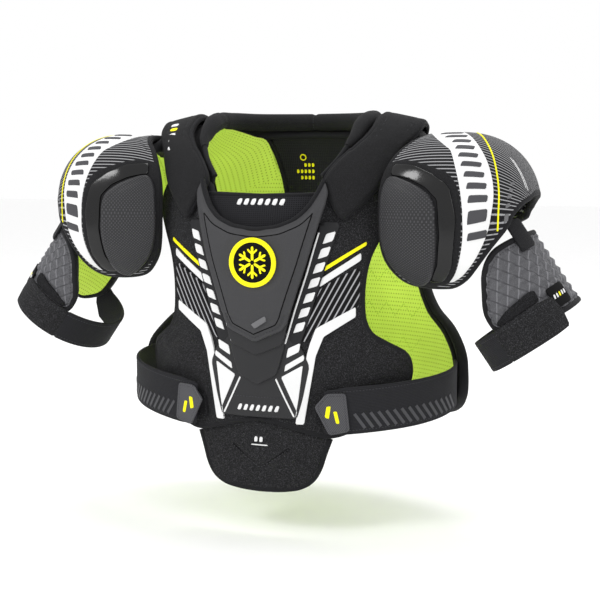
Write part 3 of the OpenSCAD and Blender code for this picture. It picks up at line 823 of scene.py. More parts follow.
class PadsColours(bpy.types.PropertyGroup):
    cloth: FloatVectorProperty(name="Cloth", description="Black knit of the panels", subtype="COLOR", size=4,
                               min=0, max=1, default=linear("#1a1a1b"))
    lining: FloatVectorProperty(name="Lining", description="Perforated inner lining", subtype="COLOR", size=4,
                                min=0, max=1, default=linear("#dff968"))
    shield: FloatVectorProperty(name="Chest shield", description="Moulded foam shield", subtype="COLOR", size=4,
                                min=0, max=1, default=linear("#353537"))
    guard: FloatVectorProperty(name="Arm guards", description="Woven face of the arm guards", subtype="COLOR",
                               size=4, min=0, max=1, default=linear("#58585b"))
    print_white: FloatVectorProperty(name="White print", description="White printed film", subtype="COLOR",
                                     size=4, min=0, max=1, default=linear("#e0e0e0"))
    print_yellow: FloatVectorProperty(name="Yellow print", description="Yellow printed film", subtype="COLOR",
                                      size=4, min=0, max=1, default=linear("#f7ee1c"))


class PadsSizes(bpy.types.PropertyGroup):
    binding: FloatProperty(name="Binding width", description="Width of the folded edge tape, in millimetres",
                           default=7.0, min=4, max=10)
    stitch: FloatProperty(name="Stitch length", description="Length of one stitch, in millimetres",
                          default=2.4, min=1.5, max=4)
    stitch_gap: FloatProperty(name="Stitch spacing", description="From one stitch to the next, in millimetres",
                              default=3.6, min=2.5, max=6)
    swell: FloatProperty(name="Padding swell", description="Pressure inside the sewn pads", default=4.0,
                         min=0, max=8)
    bars: IntProperty(name="Name bars", description="Plain bars printed where a name would be", default=7,
                      min=3, max=10)


class PADS_OT_stage(bpy.types.Operator):
    """Sets a pale floor, soft lights and the camera"""
    bl_idname = "pads.stage"
    bl_label = "Stage"

    def execute(self, context):
        mesh = bpy.data.meshes.new("floor")
        mesh.from_pydata([(-9, -9, -0.46), (9, -9, -0.46), (9, 9, -0.46), (-9, 9, -0.46)], [], [(0, 1, 2, 3)])
        floor = bpy.data.objects.new("floor", mesh)
        context.collection.objects.link(floor)
        mesh.materials.append(finish("pale_studio_floor", "#fbfbfb", 0.8, 4.0, 0.02, None, mottle=0.01))
        world = bpy.data.worlds.new("studio")
        context.scene.world = world
        world.use_nodes = True
        world.node_tree.nodes["Background"].inputs[0].default_value = (1, 1, 1, 1)
        world.node_tree.nodes["Background"].inputs[1].default_value = 1.0
        context.scene.view_settings.view_transform = "Standard"
        aim = Vector((0.0095, 0, -0.204))
        for name, at, size, power in (("key", (-1.1, -1.5, 1.2), 0.7, 16), ("fill", (1.6, -1.2, 0.5), 0.9, 5),
                                      ("top", (0.2, 0.4, 1.8), 1.0, 12), ("rim", (0.9, 1.5, 0.9), 0.8, 6)):
            lamp = bpy.data.lights.new(name, "AREA")
            lamp.energy, lamp.size, lamp.shape = power, size, "DISK"
            light = bpy.data.objects.new(name, lamp)
            light.location = at
            light.rotation_euler = (aim - Vector(at)).to_track_quat("-Z", "Y").to_euler()
            context.collection.objects.link(light)
        az, el, far = math.radians(19), math.radians(7), 1.4
        data = bpy.data.cameras.new("camera")
        data.lens, data.sensor_width, data.clip_start = 70.0, 36.0, 0.05
        camera = bpy.data.objects.new("camera", data)
        away = Vector((math.sin(az) * math.cos(el), -math.cos(az) * math.cos(el), math.sin(el)))
        camera.location = aim + away * far
        camera.rotation_euler = (-away).to_track_quat("-Z", "Y").to_euler()
        context.collection.objects.link(camera)
        context.scene.camera = camera
        return {"FINISHED"}


class PADS_OT_front(bpy.types.Operator):
    """Makes the front panel with its lining and folded bindings"""
    bl_idname = "pads.front"
    bl_label = "Front panel"

    def execute(self, context):
        line = both([*FRONT_LINE, *NECK_LINE])
        panel = patch("front_panel_cover", FRONT, line, PANEL_LOW, PANEL_HIGH, "panel", "panel_cloth", 3.0, corner=0,
                      relief=lambda x, z, gap: groove(gap, 8.0) + 0.5 * np.sin(x / 9) * np.sin(z / 11) * (gap > 10),
                      node="front_panel", fill=0.5)
        puffed(panel, lambda co: (np.abs(co[:, 0]) < 76) | (co[:, 2] > -235), pads().swell * 0.6, 1.6)
        patch("front_lining", FRONT, line, 0, 2.6, "lime", "lime_lining", 1.0, 6.0, 0, node="front_liner")
        tape("front_panel_binding", FRONT, line, PANEL_LOW - 1, PANEL_HIGH - 0.4, pads().binding, "panel_cloth",
             corner=0, shift=1.2)
        seam(FRONT, line, PANEL_HIGH - 0.9, shift=8.0, corner=0)
        for side in SIDES:
            patch("hook_patch", FRONT, [(62, -330), (96, -326), (98, -302), (64, -302)], 10.6, 12.4, "hook", "elastic",
                  0.6, side=side, node="loop_patch")
            seam(FRONT, [(64, -328), (94, -324), (96, -304), (66, -304)], 12.2, side=side)
        return {"FINISHED"}


class PADS_OT_chest(bpy.types.Operator):
    """Makes the moulded shield, the sliding plates, the rib panels and the neck mesh"""
    bl_idname = "pads.chest"
    bl_label = "Chest shield and plates"

    def execute(self, context):
        patch("neck_mesh", FRONT, both([(0, -140), (40, -134), (54, -112), (63, -90), (63, -76), (0, -78)]), 11.3,
              13.7, "mesh", "mesh_cloth", 1.0, corner=3, node="neck_bib")
        tape("neck_mesh_binding", FRONT, arch([(0, -80), (40, -79), (63, -78)]), 10.6, 13.8, 4.0, "mesh_cloth", False,
             0)
        patch("shield_backing", FRONT, both([(0, -182), (36, -180), (44, -158), (53, -130), (58, -102), (59, -93),
                                             (50, -103), (38, -112), (20, -119), (0, -122)]), 14.8, 19.4, "rail",
              "shield_foam", node="sternum_backing")

        def shield_relief(x, z, gap):
            lip = -1.9 * np.clip((8.0 - gap) / 1.8, 0, 1)
            point = -1.5 * np.clip(((-203 - 0.32 * (34 - np.abs(x))) - z) / 3.0, 0, 1)
            field = 1.2 * np.clip(1 - (x / 52) ** 2, 0, 1)
            ring = 0.8 * np.clip((34 - np.hypot(x, z + 148)) / 2, 0, 1)
            return lip + point + field - ring

        outline = both([(0, -237), (29, -223), (34, -214), (43, -183), (53, -150), (63, -115), (70, -90), (72, -78),
                        (67, -66), (62, -78), (54, -92), (42, -104), (24, -112), (0, -115)])
        patch("chest_shield", FRONT, outline, 20.8, 26.6, "shield", "shield_foam", 2.6, 2.6, relief=shield_relief,
              sharp=50, node="sternum_shield")
        tape("shield_neck_piping", FRONT, arch([(0, -116), (24, -113), (42, -105), (54, -93), (62, -79), (67, -67)]),
             19.5, 25.5, 5.0, "shield_foam", False, 6)
        seam(FRONT, outline, 24.6, shift=4.6)
        tape("shield_groove", FRONT, outline, lambda x, z: 25.7 + shield_relief(x, z, 20 + 0 * x),
             lambda x, z: 26.1 + shield_relief(x, z, 20 + 0 * x), 1.6, "shield_foam", shift=8.8, look="hole")
        patch("chest_plate_upper", FRONT, both([(0, -252), (27, -240), (31, -231), (36, -204), (0, -206)]), 17.8,
              20.2, "plate", "plate_plastic", 1.4, body="upper_plate", node="sternum_upper_plate")
        patch("chest_plate_lower", FRONT, both([(0, -286), (21, -274), (25, -262), (30, -242), (30, -226), (0, -228)]),
              14.8, 17.2, "plate", "plate_plastic", 1.4, body="lower_plate", node="sternum_lower_plate")
        patch("chest_base", FRONT, both([(0, -323), (43, -323), (49, -300), (56, -263), (48, -244), (36, -236),
                                         (31, -224), (0, -224)]), 11.3, 13.7, "plate", "printed_film", 1.2,
              node="chest_base_plate")
        seam(FRONT, both([(0, -321), (41, -321), (47, -300)]), 13.7, closed=False, corner=0)
        for side in SIDES:
            patch("chest_rail", FRONT, [(86, -106), (81, -122), (64, -180), (50, -228), (44, -243), (30, -240),
                                        (40, -200), (54, -150), (66, -106)], 10.4, 13.2, "rail", "printed_film", 1.0,
                  side=side)
            patch("rib_knit", FRONT, [(105, -153), (84, -165), (66, -177), (56, -208), (47, -238), (57, -233),
                                      (62, -221), (104, -198), (105, -176)], 10.3, 12.2, "rib", "panel_cloth", 1.2,
                  side=side, node="rib_panel")
        return {"FINISHED"}


class PADS_OT_prints(bpy.types.Operator):
    """Lays the white and yellow film marks on the chest"""
    bl_idname = "pads.prints"
    bl_label = "Printed marks"

    def execute(self, context):
        rail, base, panel = (13.1, 13.9), (13.6, 14.4), (10.1, 11.4)
        thin = 1.8
        marks = [([(x - 6.6, z - 7.0), (x + 3.4, z - 3.6), (x + 6.4, z + 6.4), (x - 3.2, z + 3.6)], rail, 0.3)
                 for x, z in ((75, -122), (70.5, -137.5), (65.5, -153.5), (60.5, -170), (55.5, -186.5), (50.5, -203),
                              (45.5, -219.5))]
        marks += [([(33.5, -243.5), (31.5, -254.5), (45, -247), (46.5, -237)], base, 0.8),
                  ([(50, -250), (50.5, -256), (29.5, -270), (30.5, -262.5)], base, 0.8),
                  ([(49, -262), (26, -276), (43, -315), (41, -322), (44.5, -300)], base, 0.8),
                  (ribbon([(64.5, -117), (53, -160), (41, -200), (30, -240)], thin), rail, 0.2),
                  (ribbon([(27, -243), (23, -258), (20, -273)], thin), base, 0.2),
                  (ribbon([(20, -278), (30, -300), (40, -321)], thin), base, 0.2),
                  ([(106, -138), (106, -146), (66, -175), (64, -168)], panel, 0.8),
                  ([(101, -197), (101, -208), (70, -230), (62, -252), (50, -329), (41, -329), (53, -250), (56, -238),
                    (62, -221)], (10.1, 13.0), 0.8)]
        for side in SIDES:
            joined(f"white_marks_{side[0]}", [film(f"mark_{i}", FRONT, line, *levels, corner=corner, side=side)
                                              for i, (line, levels, corner) in enumerate(marks)])
            film("yellow_line", FRONT, [(111, -126), (111, -130), (70, -158), (69, -154)], *panel, "yellow",
                 corner=0.8, side=side)
        joined("neck_bars", bars(FRONT, [(-27, -90), (-22, -90), (-20, -83.5), (-25, -83.5)], (8, 0), pads().bars,
                                 13.6, 14.2, corner=0.8))
        joined("base_bars", bars(FRONT, [(-24, -316), (-20, -316), (-17.5, -309), (-21.5, -309)], (7, 0),
                                 pads().bars, 13.6, 14.1, corner=0.8))
        patch("shield_tag", FRONT, [(-2, -216), (13, -206), (14, -212), (2, -221)], 26.4, 28.7, "grey",
              "shield_foam", 0.3, 2.5, 0.6)
        middle = np.array([0, -148])
        ring, hole, disc_line = turned(45, 27.4, 22.2, 22.4)
        patch("emblem_ring", DISC, middle + ring, 0, 2.0, "yellow", "emblem", 0.7, 2.2, 0, hole=middle + hole,
              node="sternum_emblem")
        patch("emblem_disc", DISC, middle + disc_line, 0, 1.0, "hole", "emblem", 0.4, corner=0)
        twig = np.array([(9, 1.0), (11.6, 1.0), (15.6, 5.4), (13.4, 6.2)])
        flake = []
        for a in np.radians(60 * np.arange(6) + 30):
            turn = np.array([(math.cos(a), math.sin(a)), (-math.sin(a), math.cos(a))])
            for shape in (np.array([(2.5, -1.5), (17, -1.5), (18.5, 0), (17, 1.5), (2.5, 1.5)]), twig * (1, -1), twig):
                flake.append(patch("spoke", DISC, middle + shape @ turn, 1.0, 1.8, "yellow", "emblem", 0.4, 2, 0.3))
        joined("emblem_flake", flake)
        return {"FINISHED"}


class PADS_OT_collar(bpy.types.Operator):
    """Makes the stuffed collar roll and the neck piping"""
    bl_idname = "pads.collar"
    bl_label = "Collar"

    def execute(self, context):
        waists, upright = (0.18, 0.5, 0.82), [0, 0, 1.0]
        centre = paced(curved(ROLL_LINE, 8), 4.0, False)
        tangent, _ = frames_along(centre, np.tile(upright, (len(centre), 1)))
        across = np.cross(tangent, upright)
        across /= np.linalg.norm(across, axis=1)[:, None]
        up = np.cross(across, tangent)
        run = np.r_[0, np.cumsum(np.linalg.norm(np.diff(centre, axis=0), axis=1))]
        size = np.full(len(centre), 21.0)
        for share in waists:
            size -= 3.4 * np.exp(-((run - run[-1] * share) / 2.4) ** 2)
        size *= np.sqrt(np.clip(0.12 + np.minimum(run, run[-1] - run) / 60, 0, 1))
        roll = finished("collar_roll_cover", *sweep(centre, across, up, size, size, False, 20), "jersey",
                        "collar_cloth", 60, node="collar_roll", fill=0.8)
        puffed(roll, lambda co: np.zeros(len(co)) + (np.arange(len(co)) < 40) + (np.arange(len(co)) >= len(co) - 40),
               pads().swell, 0.8)
        for share in waists:
            i = int(share * (len(centre) - 1))
            ring = np.linspace(0, 2 * math.pi, 28, endpoint=False)[:, None]
            points = centre[i] + (across[i] * np.cos(ring) + up[i] * np.sin(ring)) * 9.3
            SEAMS.append(("torso", "thread", points, points - centre[i], True))
        xs = np.linspace(-94, 94, 61)
        reach, deep, high = curved(ROLL_LINE[3:12], 8).T
        top = np.stack([xs, np.interp(xs, reach, deep) + 2, np.interp(xs, reach, high) - 7], 1)
        low_z = np.interp(np.abs(xs), [0, 60, 90, 100], [-17, -17, -20, -26])
        low, _ = BACK.at(np.stack([xs * 1.03, low_z], 1), 5.0)
        mid = (top + low) / 2 + np.array([0, 1.5, 1.0])
        loft("collar_band", [top, top * 0.6 + mid * 0.4, mid, mid * 0.45 + low * 0.55, low], 3.0, "jersey",
             "collar_cloth", fill=0.3)
        line = paced(curved([(86, -61, -22), (78, -72, -37), (64, -83, -55)], 8), 3.0, False)
        tangent, across = frames_along(line, np.tile([0.3, -0.7, 0.6], (len(line), 1)))
        for side in SIDES:
            finished("neck_piping_cover", *sweep(line, across, np.cross(across, tangent), 6, 6, False, 12), "tape",
                     "collar_cloth", 60, side, node="neck_piping")
        return {"FINISHED"}


class PADS_OT_yokes(bpy.types.Operator):
    """Makes the yoke pads over the shoulders and the bridges under them"""
    bl_idname = "pads.yokes"
    bl_label = "Yokes"

    def execute(self, context):
        line = curved([(84, 19), (91, 18.5), (109, 27), (121, 35), (131, 46), (140, 57), (151, 71), (156, 84),
                       (157, 95), (153, 107), (142, 120), (126, 121), (110, 120), (109, 105), (109, 90), (108, 75),
                       (104, 62), (90, 50), (78, 43), (68, 36), (67, 32), (74, 26)], 3, True)
        share, turns = np.linspace(0, 1, 15), np.linspace(58, 122, 15)
        for side in SIDES:
            patch("shoulder_bridge_cover", OVER, [(98, 41), (128, 41), (142, 64), (152, 78), (155, 90), (152, 102),
                                                  (142, 119), (112, 119), (113, 90), (113, 78), (108, 64)], 0.3, 7.6,
                  "jersey", "panel_cloth", 2.5, side=side, node="shoulder_bridge", fill=0.4)
            patch("neck_side", OVER, curved([(87, 46), (90, 60), (91, 75), (91, 93), (94, 101), (108, 103), (120, 101),
                                             (118, 90), (117, 70), (106, 48)], 4, True), 0.6, 5.0, "jersey",
                  "collar_cloth", corner=0, side=side, fill=0.3)
            patch("shoulder_lining", OVER, curved([(89, 50), (92, 75), (92, 103), (110, 106), (136, 103), (136, 90),
                                                   (132, 70), (116, 52)], 4, True), -2.0, 0.2, "lime", "lime_lining",
                  0.9, corner=0, side=side)
            rows = [OVER.at(np.stack([91 + 43 * share, 98 + 0 * share], 1), -1.6)[0],
                    np.linspace((87, 34, -1.5), (133, 40, -30), 15), np.linspace((71, 59, -9), (129, 48, -41), 15),
                    BACK.at(np.stack([59 + 69 * share, -15 - 47 * share], 1), -3.2)[0],
                    BACK.at(np.stack([52 + 74 * share, -62 - 34 * share], 1), 2.0)[0]]
            rows = np.swapaxes([curved(c, 5) for c in np.swapaxes(rows, 0, 1)], 0, 1)
            loft("nape_lining", rows, 1.8, "lime", "lime_lining", side=side)
            loft("nape_cover", rows[:11] + np.array([0, 1.5, 2.1]), 1.8, "jersey", "collar_cloth", side=side, fill=0.3)
            rows = [[(89, -56, -17), (86, -61, -22), (78, -72, -37), (64, -83, -55)],
                    OVER.at(np.array([(92, 52), (88, 47), (80, 38), (66, 29)]), 2.5)[0]]
            loft("neck_wall", [curved(r, 5) for r in rows], 2.4, "jersey", "collar_cloth", side=side)
            yoke = patch("yoke_cover", OVER, line, 11.8, 19.0, "jersey", "pad_skin", 4.5, corner=0, side=side,
                         relief=lambda x, t, gap: groove(gap, 9.0, 1.3, 0.9), node="yoke_pad", fill=0.7)
            puffed(yoke, lambda co: np.zeros(len(co)), pads().swell, 1.2)
            tape("yoke_binding", OVER, line, 11.6, 16.4, 6.0, "pad_skin", corner=0, shift=1.0, side=side)
            seam(OVER, line, 18.4, shift=9.0, corner=0, side=side)
            if side[0] == "right":
                joined("yoke_bars", bars(OVER, [(116, 46), (126, 47.4), (126, 50.2), (116, 48.8)], (2.6, 5.2), 6, 18.6,
                                         19.7, odd=4, side=side))
            rows = [OVER.at(np.stack([np.full(15, x), turns], 1), 9.6)[0] for x in (132, 142, 150)]
            under = [CAP.at(np.stack([turns, np.full(15, w)], 1), -18.5)[0] for w in (-15, -10, -4)]
            middle = (rows[-1] + under[0]) / 2 + np.array([1.0, 0, 1.0])
            web = loft("cap_webbing", [*rows, middle, *under], 1.8, "tape", "webbing", side=side, body=None)
            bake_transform(web)
        return {"FINISHED"}


class PADS_OT_back(bpy.types.Operator):
    """Makes the back panel, its lining, the spine plates and the shoulder blade pads"""
    bl_idname = "pads.back"
    bl_label = "Back"

    def execute(self, context):
        line = both(BACK_LINE)

        def panel_relief(x, z, gap):
            return groove(gap, 9.0) + groove(np.abs(np.abs(x) - 140), 0, 1.4, 0.9) * (z < -230)

        def blade_relief(x, z, gap):
            return groove(gap, 8.0, 1.1, 0.9) + groove(np.abs(z + 130 + (x - 90) * 0.2), 0, 1.5, 1.1) * (gap > 8)

        def plate_relief(x, z, gap):
            return (-1.2 * np.clip((9 - gap) / 2.5, 0, 1) + 0.8 * (np.abs(x) < 5)
                    + groove(np.abs(np.abs(x) - 7), 0, 1.2, 0.9))

        panel = patch("back_panel_cover", BACK, line, 5.6, 12.4, "panel", "panel_cloth", 3.0, 4.6, 0, panel_relief,
                      node="back_panel", fill=0.5)
        puffed(panel, lambda co: (np.abs(co[:, 0]) < 132) & (co[:, 2] < -50), pads().swell * 0.6, 1.6)
        tape("back_panel_binding", BACK, line, 0.6, 12.0, pads().binding, "panel_cloth", corner=0, shift=1.0)
        seam(BACK, line, 11.6, shift=9.0, corner=0)
        half = [(20, -346), (110, -345), (150, -341), (172, -334), (186, -324), (193, -306), (193, -284), (189, -265),
                (174, -241), (152, -221), (141, -198), (133, -168), (129, -142), (127, -110), (128, -84), (124, -60),
                (112, -38), (100, -21), (90, -13), (76, -11), (59, -12), (54, -25), (46, -60), (40, -100), (29, -200)]
        blade_line = curved([(64, -190), (96, -195), (112, -178), (123, -158), (128, -136), (128, -104), (122, -80),
                             (104, -71), (76, -70), (62, -76), (56, -96), (54, -126), (56, -160)], 3, True)
        for side in SIDES:
            patch("back_lining", BACK, half, 0, 4.0, "lime", "lime_lining", 2.0, 5.0, 8, side=side, node="back_liner",
                  fill=0.4)
            tape("back_lining_binding", BACK, half, -0.6, 3.4, 6.0, "lime_lining", corner=8, shift=0.4, side=side)
            for k in range(6):
                zigzag = [(32 + i * 12, -96 - k * 42 + (8 if i % 2 else -8)) for i in range(8 if k < 3 else 10)]
                seam(BACK, zigzag, -0.1, closed=False, corner=0, side=side, thread="lime_thread")
            blade = patch("shoulder_blade_pad", BACK, blade_line, 13.1, 18.0, "pad", "pad_skin", 3.5, 3.6, 0,
                          blade_relief, side=side, node="scapula_pad", fill=0.7)
            puffed(blade, lambda co: np.zeros(len(co)), pads().swell, 1.0)
            film("back_band", BACK, ribbon([(134, -206), (112, -222), (92, -240), (74, -262), (66, -300), (62, -336)],
                                           8), 12.0, 13.2, soft=0.5, step=3.5, corner=2, side=side)
            film("back_line", BACK, ribbon([(124, -204), (102, -220), (82, -238), (62, -262)], 2.2), 12.0, 13.2,
                 "yellow", step=3, corner=1, side=side)
        patch("spine_strip_cover", BACK, both([(0, -347), (18, -347), (26, -200), (37, -100), (43, -60), (51, -25),
                                               (55, -12), (0, -11)]), 0.2, 3.4, "mesh", "mesh_cloth", 1.2, 5,
              node="spine_strip")
        ring, hole = turned(15, 4.2, 3.0)
        at = np.array([-20, -34])
        label = [film("label_ring", BACK, at + ring, -0.9, 0.4, "yellow", 0.2, 1.6, 0, hole=at + hole)]
        for z, count in ((-46, 3), (-54, 5), (-62, 4)):
            label += bars(BACK, [(-9, z), (-6, z), (-6, z + 4.5), (-9, z + 4.5)], (-5, 0), count, -0.9, 0.4, "yellow",
                          soft=0.2, step=2, corner=0.3)
        joined("inner_label", label)
        for name, low, high, wide in (("upper", -132, -52, 44), ("middle", -222, -136, 38), ("lower", -322, -226, 44)):
            shape = both([(0, low), (wide * 0.75, low + 7), (wide, low + 20), (wide, high - 13),
                          (wide * 0.85, high - 1), (0, high)])
            patch(f"spine_plate_cover_{name}", BACK, shape, 13.1, 17.8, "plate", "plate_plastic", 2.2, 3.2,
                  relief=plate_relief, node=f"spine_plate_{name}")
            seam(BACK, shape, 15.6, shift=4.0)
        return {"FINISHED"}


class PADS_OT_waist(bpy.types.Operator):
    """Makes the elastic side straps with their printed bars and gripper tabs"""
    bl_idname = "pads.waist"
    bl_label = "Side straps"

    def execute(self, context):
        tree = repeat_tree("printed_bars", "bar")
        turns = np.arange(35, 84, 1.0)
        tab = [(23.5, 22), (19.5, 8), (24.5, -25), (31.5, -22), (30, 21)]
        for side in SIDES:
            name, way = side
            body = f"waist_strap_{name}"
            strap = patch("side_strap_cover", SIDE, [(23, -24), (22.5, 24), (30, 27), (60, 26), (104, 24), (104, -24),
                                                     (60, -26), (30, -26)], 0.1, 3.0, "elastic", "elastic", 1.2,
                          corner=2, side=side, body=None, node="side_strap")
            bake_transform(strap)
            points, normal = SIDE.at(np.stack([turns, np.full(len(turns), -11.5)], 1), 3.0)
            repeated(f"side_strap_bars_{name}", tree, [(points * (way, 1, 1), normal * (way, 1, 1), False)], 9.0,
                     (3.4, 20, 0.9), 32 * way, "ink", body)
            for high in (-21.5, 22.5):
                seam(SIDE, [(26, high), (60, high), (82, high)], 3.0, body, False, corner=0, side=side)
            patch("side_tab_cover", SIDE, tab, 3.5, 6.0, "tab", "grip_tab", 0.9, 3, 3, side=side, body=body,
                  node="side_tab")
            seam(SIDE, tab, 6.0, body, shift=2.6, side=side)
            joined(f"tab_marks_{name}", [film("mark", SIDE, line, 5.8, 6.6, "yellow", 0.3, 2, 0.5, side=side, body=body)
                                         for line in ([(23.6, 8), (25.0, 8), (24.4, -6), (23.0, -4)],
                                                      [(25.8, 2), (27.0, 2), (28.0, -12), (26.8, -12)])])
        return {"FINISHED"}


class PADS_OT_flap(bpy.types.Operator):
    """Makes the belly flap at the hem and the strip that it hangs from"""
    bl_idname = "pads.flap"
    bl_label = "Belly flap"

    def execute(self, context):
        line = both([*curved([(0, -407), (24, -406), (44, -403), (58, -395), (65, -382), (70, -364), (76, -346)], 4),
                     (74, -337), (60, -333), (30, -328), (0, -326)])

        def relief(x, z, gap):
            sides = groove(np.abs(np.abs(x) - 38 - (z + 340) * 0.06), 0, 1.2, 0.7) * (gap > 9)
            vee = groove(np.abs(z + 383 - 0.735 * np.abs(x)) * 0.8, 0, 1.8, 1.1) * (np.abs(x) < 35)
            return groove(gap, 9.0) + sides + vee

        flap = patch("belly_flap_cover", FRONT, line, 0.4, 6.2, "panel", "panel_cloth", 2.8, 2.6, 2, relief,
                     body=None, node="belly_flap", fill=0.5)
        puffed(flap, lambda co: (co[:, 2] > -362) * 1.0, pads().swell, 1.0)
        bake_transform(flap)
        hem = arch([(0, -408), (24, -407), (44, -404), (58, -396), (66, -382), (71, -364), (77, -347)])
        tape("belly_flap_binding", FRONT, hem[::-1], 0.2, 6.0, 6.5, "panel_cloth", False, 8, body="flap")
        patch("belly_flap_channel", FRONT, ribbon(arch([(0, -383), (17, -370.5), (34, -358)])[::-1], 1.7), 4.4, 6.3,
              "hole", "panel_cloth", 0.3, 2.4, 0.5, body="flap")
        for rows, lift, corner in (([(0, -383), (18, -371), (34, -358)], 6.5, 3),
                                   ([(0, -399), (36, -396), (50, -388), (58, -372), (62, -352)], 5.6, 8)):
            seam(FRONT, arch(rows)[::-1], lift, "flap", False, corner=corner)
        marks = [film("size_line", FRONT, [(-11, -357), (9, -357), (9, -355.8), (-11, -355.8)], 6.0, 7.2, "white", 0.2,
                      2, 0.2, body="flap")]
        marks += bars(FRONT, [(-7, -353), (-3.5, -353), (-3, -347), (-6.5, -347)], (6, 0), 2, 6.0, 7.2, soft=0.2,
                      step=2, corner=0.4, body="flap")
        joined("size_marks", marks)
        patch("hook_strip_cover", FRONT, both([(0, -347), (59, -351), (59, -335), (0, -323)]), -2.9, -0.6, "hook",
              "elastic", 0.6, node="belly_hook_strip")
        return {"FINISHED"}


class PADS_OT_caps(bpy.types.Operator):
    """Makes the shoulder caps with their front pads, patent trim and printed bands"""
    bl_idname = "pads.caps"
    bl_label = "Shoulder caps"

    def execute(self, context):
        for side in SIDES:
            name = side[0]
            on = {"side": side, "body": f"shoulder_cap_{name}"}
            patch("cap_cover_skin", CAP, CAP_LINE, -6.8, 0, "cap", "cap_knit", 3.0, 4.2, 0,
                  lambda t, w, gap: groove(gap, 8.5, 1.2, 0.7), node="cap_cover", fill=0.5, **on)
            patch("cap_shell_skin", CAP, CAP_LINE * 0.97, -11.5, -8.5, "shell", "plate_plastic", 1.0, 6.0, 0,
                  node="cap_shell", **on)
            patch("cap_lining", CAP, CAP_LINE * 0.98, -16.0, -12.4, "lime", "lime_lining", 1.5, 6.0, 0,
                  node="cap_liner", **on)
            tape("cap_binding", CAP, CAP_LINE, -7.2, -0.4, 8.0, "cap_knit", corner=0, shift=1.2, **on)
            tape("cap_lining_binding", CAP, CAP_LINE * 0.98, -16.4, -9.5, 5.0, "lime_lining", corner=0, shift=0.5,
                 **on)
            seam(CAP, CAP_LINE, -0.5, shift=8.5, corner=0, **on)
            patch("cap_frame", CAP, curved([(-48, -14), (-47, -1), (-28, 7), (0, 10.5), (20, 5), (33, -9), (40, -26),
                                            (34, -34), (18, -37), (-5, -37), (-30, -33)], 4, True), -0.6, 1.6,
                  "jersey", "pad_skin", 1.4, 3.4, 0, **on)
            pad = patch("cap_front_pad_skin", CAP, CAP_PAD_LINE, 1.0, 6.4, "pad", "pad_skin", 4.0, 2.8, 0,
                        lambda t, w, gap: groove(gap, 6.5, 1.0, 0.8), node="cap_front_pad", fill=0.8, **on)
            puffed(pad, lambda co: np.zeros(len(co)), pads().swell, 1.0)
            seam(CAP, CAP_PAD_LINE, 5.6, shift=6.5, corner=0, **on)
            patch("cap_trim_skin", CAP, [(36, -27), (31, -13), (24, -4), (14, 3), (0, 7), (-26, 4.5), (-42, -1),
                                         (-43, -6), (-26, -2), (-6, -1), (8, -2), (15, -7), (21, -16), (26, -28)],
                  1.0, 3.4, "gloss", "gloss_vinyl", 1.2, 2.4, 1.5, node="cap_trim", **on)
            film("cap_band", CAP, [*curved([(86, -13), (66, -7), (48, 0), (30, 5), (14, 9), (-4, 11.5), (-20, 9.5),
                                            (-36, 5), (-44, 0)], 3), (-43, 4),
                                   *curved([(-37, 10), (-27, 17), (-17, 23), (-4, 29), (8, 32), (22, 31), (38, 26),
                                            (54, 18), (70, 9), (87, -1)], 3)], -0.4, 0.7, "white", 0.5, 3.2, 1.5, **on)
            marks = []
            for i in range(pads().bars + 4):
                t = 72 - i * 8.2
                w = 21 - 22 * (max(0, t - 8) / 64) ** 1.25
                half = 7.0 - 2.0 * max(0, t - 30) / 40
                shape = [(t, w - half), (t + 4.4, w - half + 1), (t + 5.8, w + half), (t + 1.4, w + half - 0.5)]
                marks.append(film(f"bar_{i}", CAP, shape, 0.4, 1.3, "ink", **on))
            joined(f"cap_bars_{name}", marks)
            film("cap_yellow_line", CAP, ribbon(curved([(92, 8), (68, 20), (44, 30), (17, 36), (-6, 36)], 5), 2.0,
                                                CAP.scale), -0.3, 0.7, "yellow", step=2.6, corner=0.2, **on)
            thin = [ribbon(curved([(60, 41 + k), (48, 53 + k), (34, 61 + k)], 5), 1.1, CAP.scale) for k in (0, 2.6)]
            joined(f"cap_thin_lines_{name}", [film("line", CAP, line, -0.3, 0.6, "white", 0.3, 2.6, 0.1, **on)
                                              for line in thin])
            joined(f"cap_small_bars_{name}", bars(CAP, [(26, 45), (29, 45.4), (30.4, 49), (27.4, 48.6)], (-7, -1), 5,
                                                  -0.3, 0.5, "grey", soft=0.3, step=2, corner=0.3, **on))
        return {"FINISHED"}


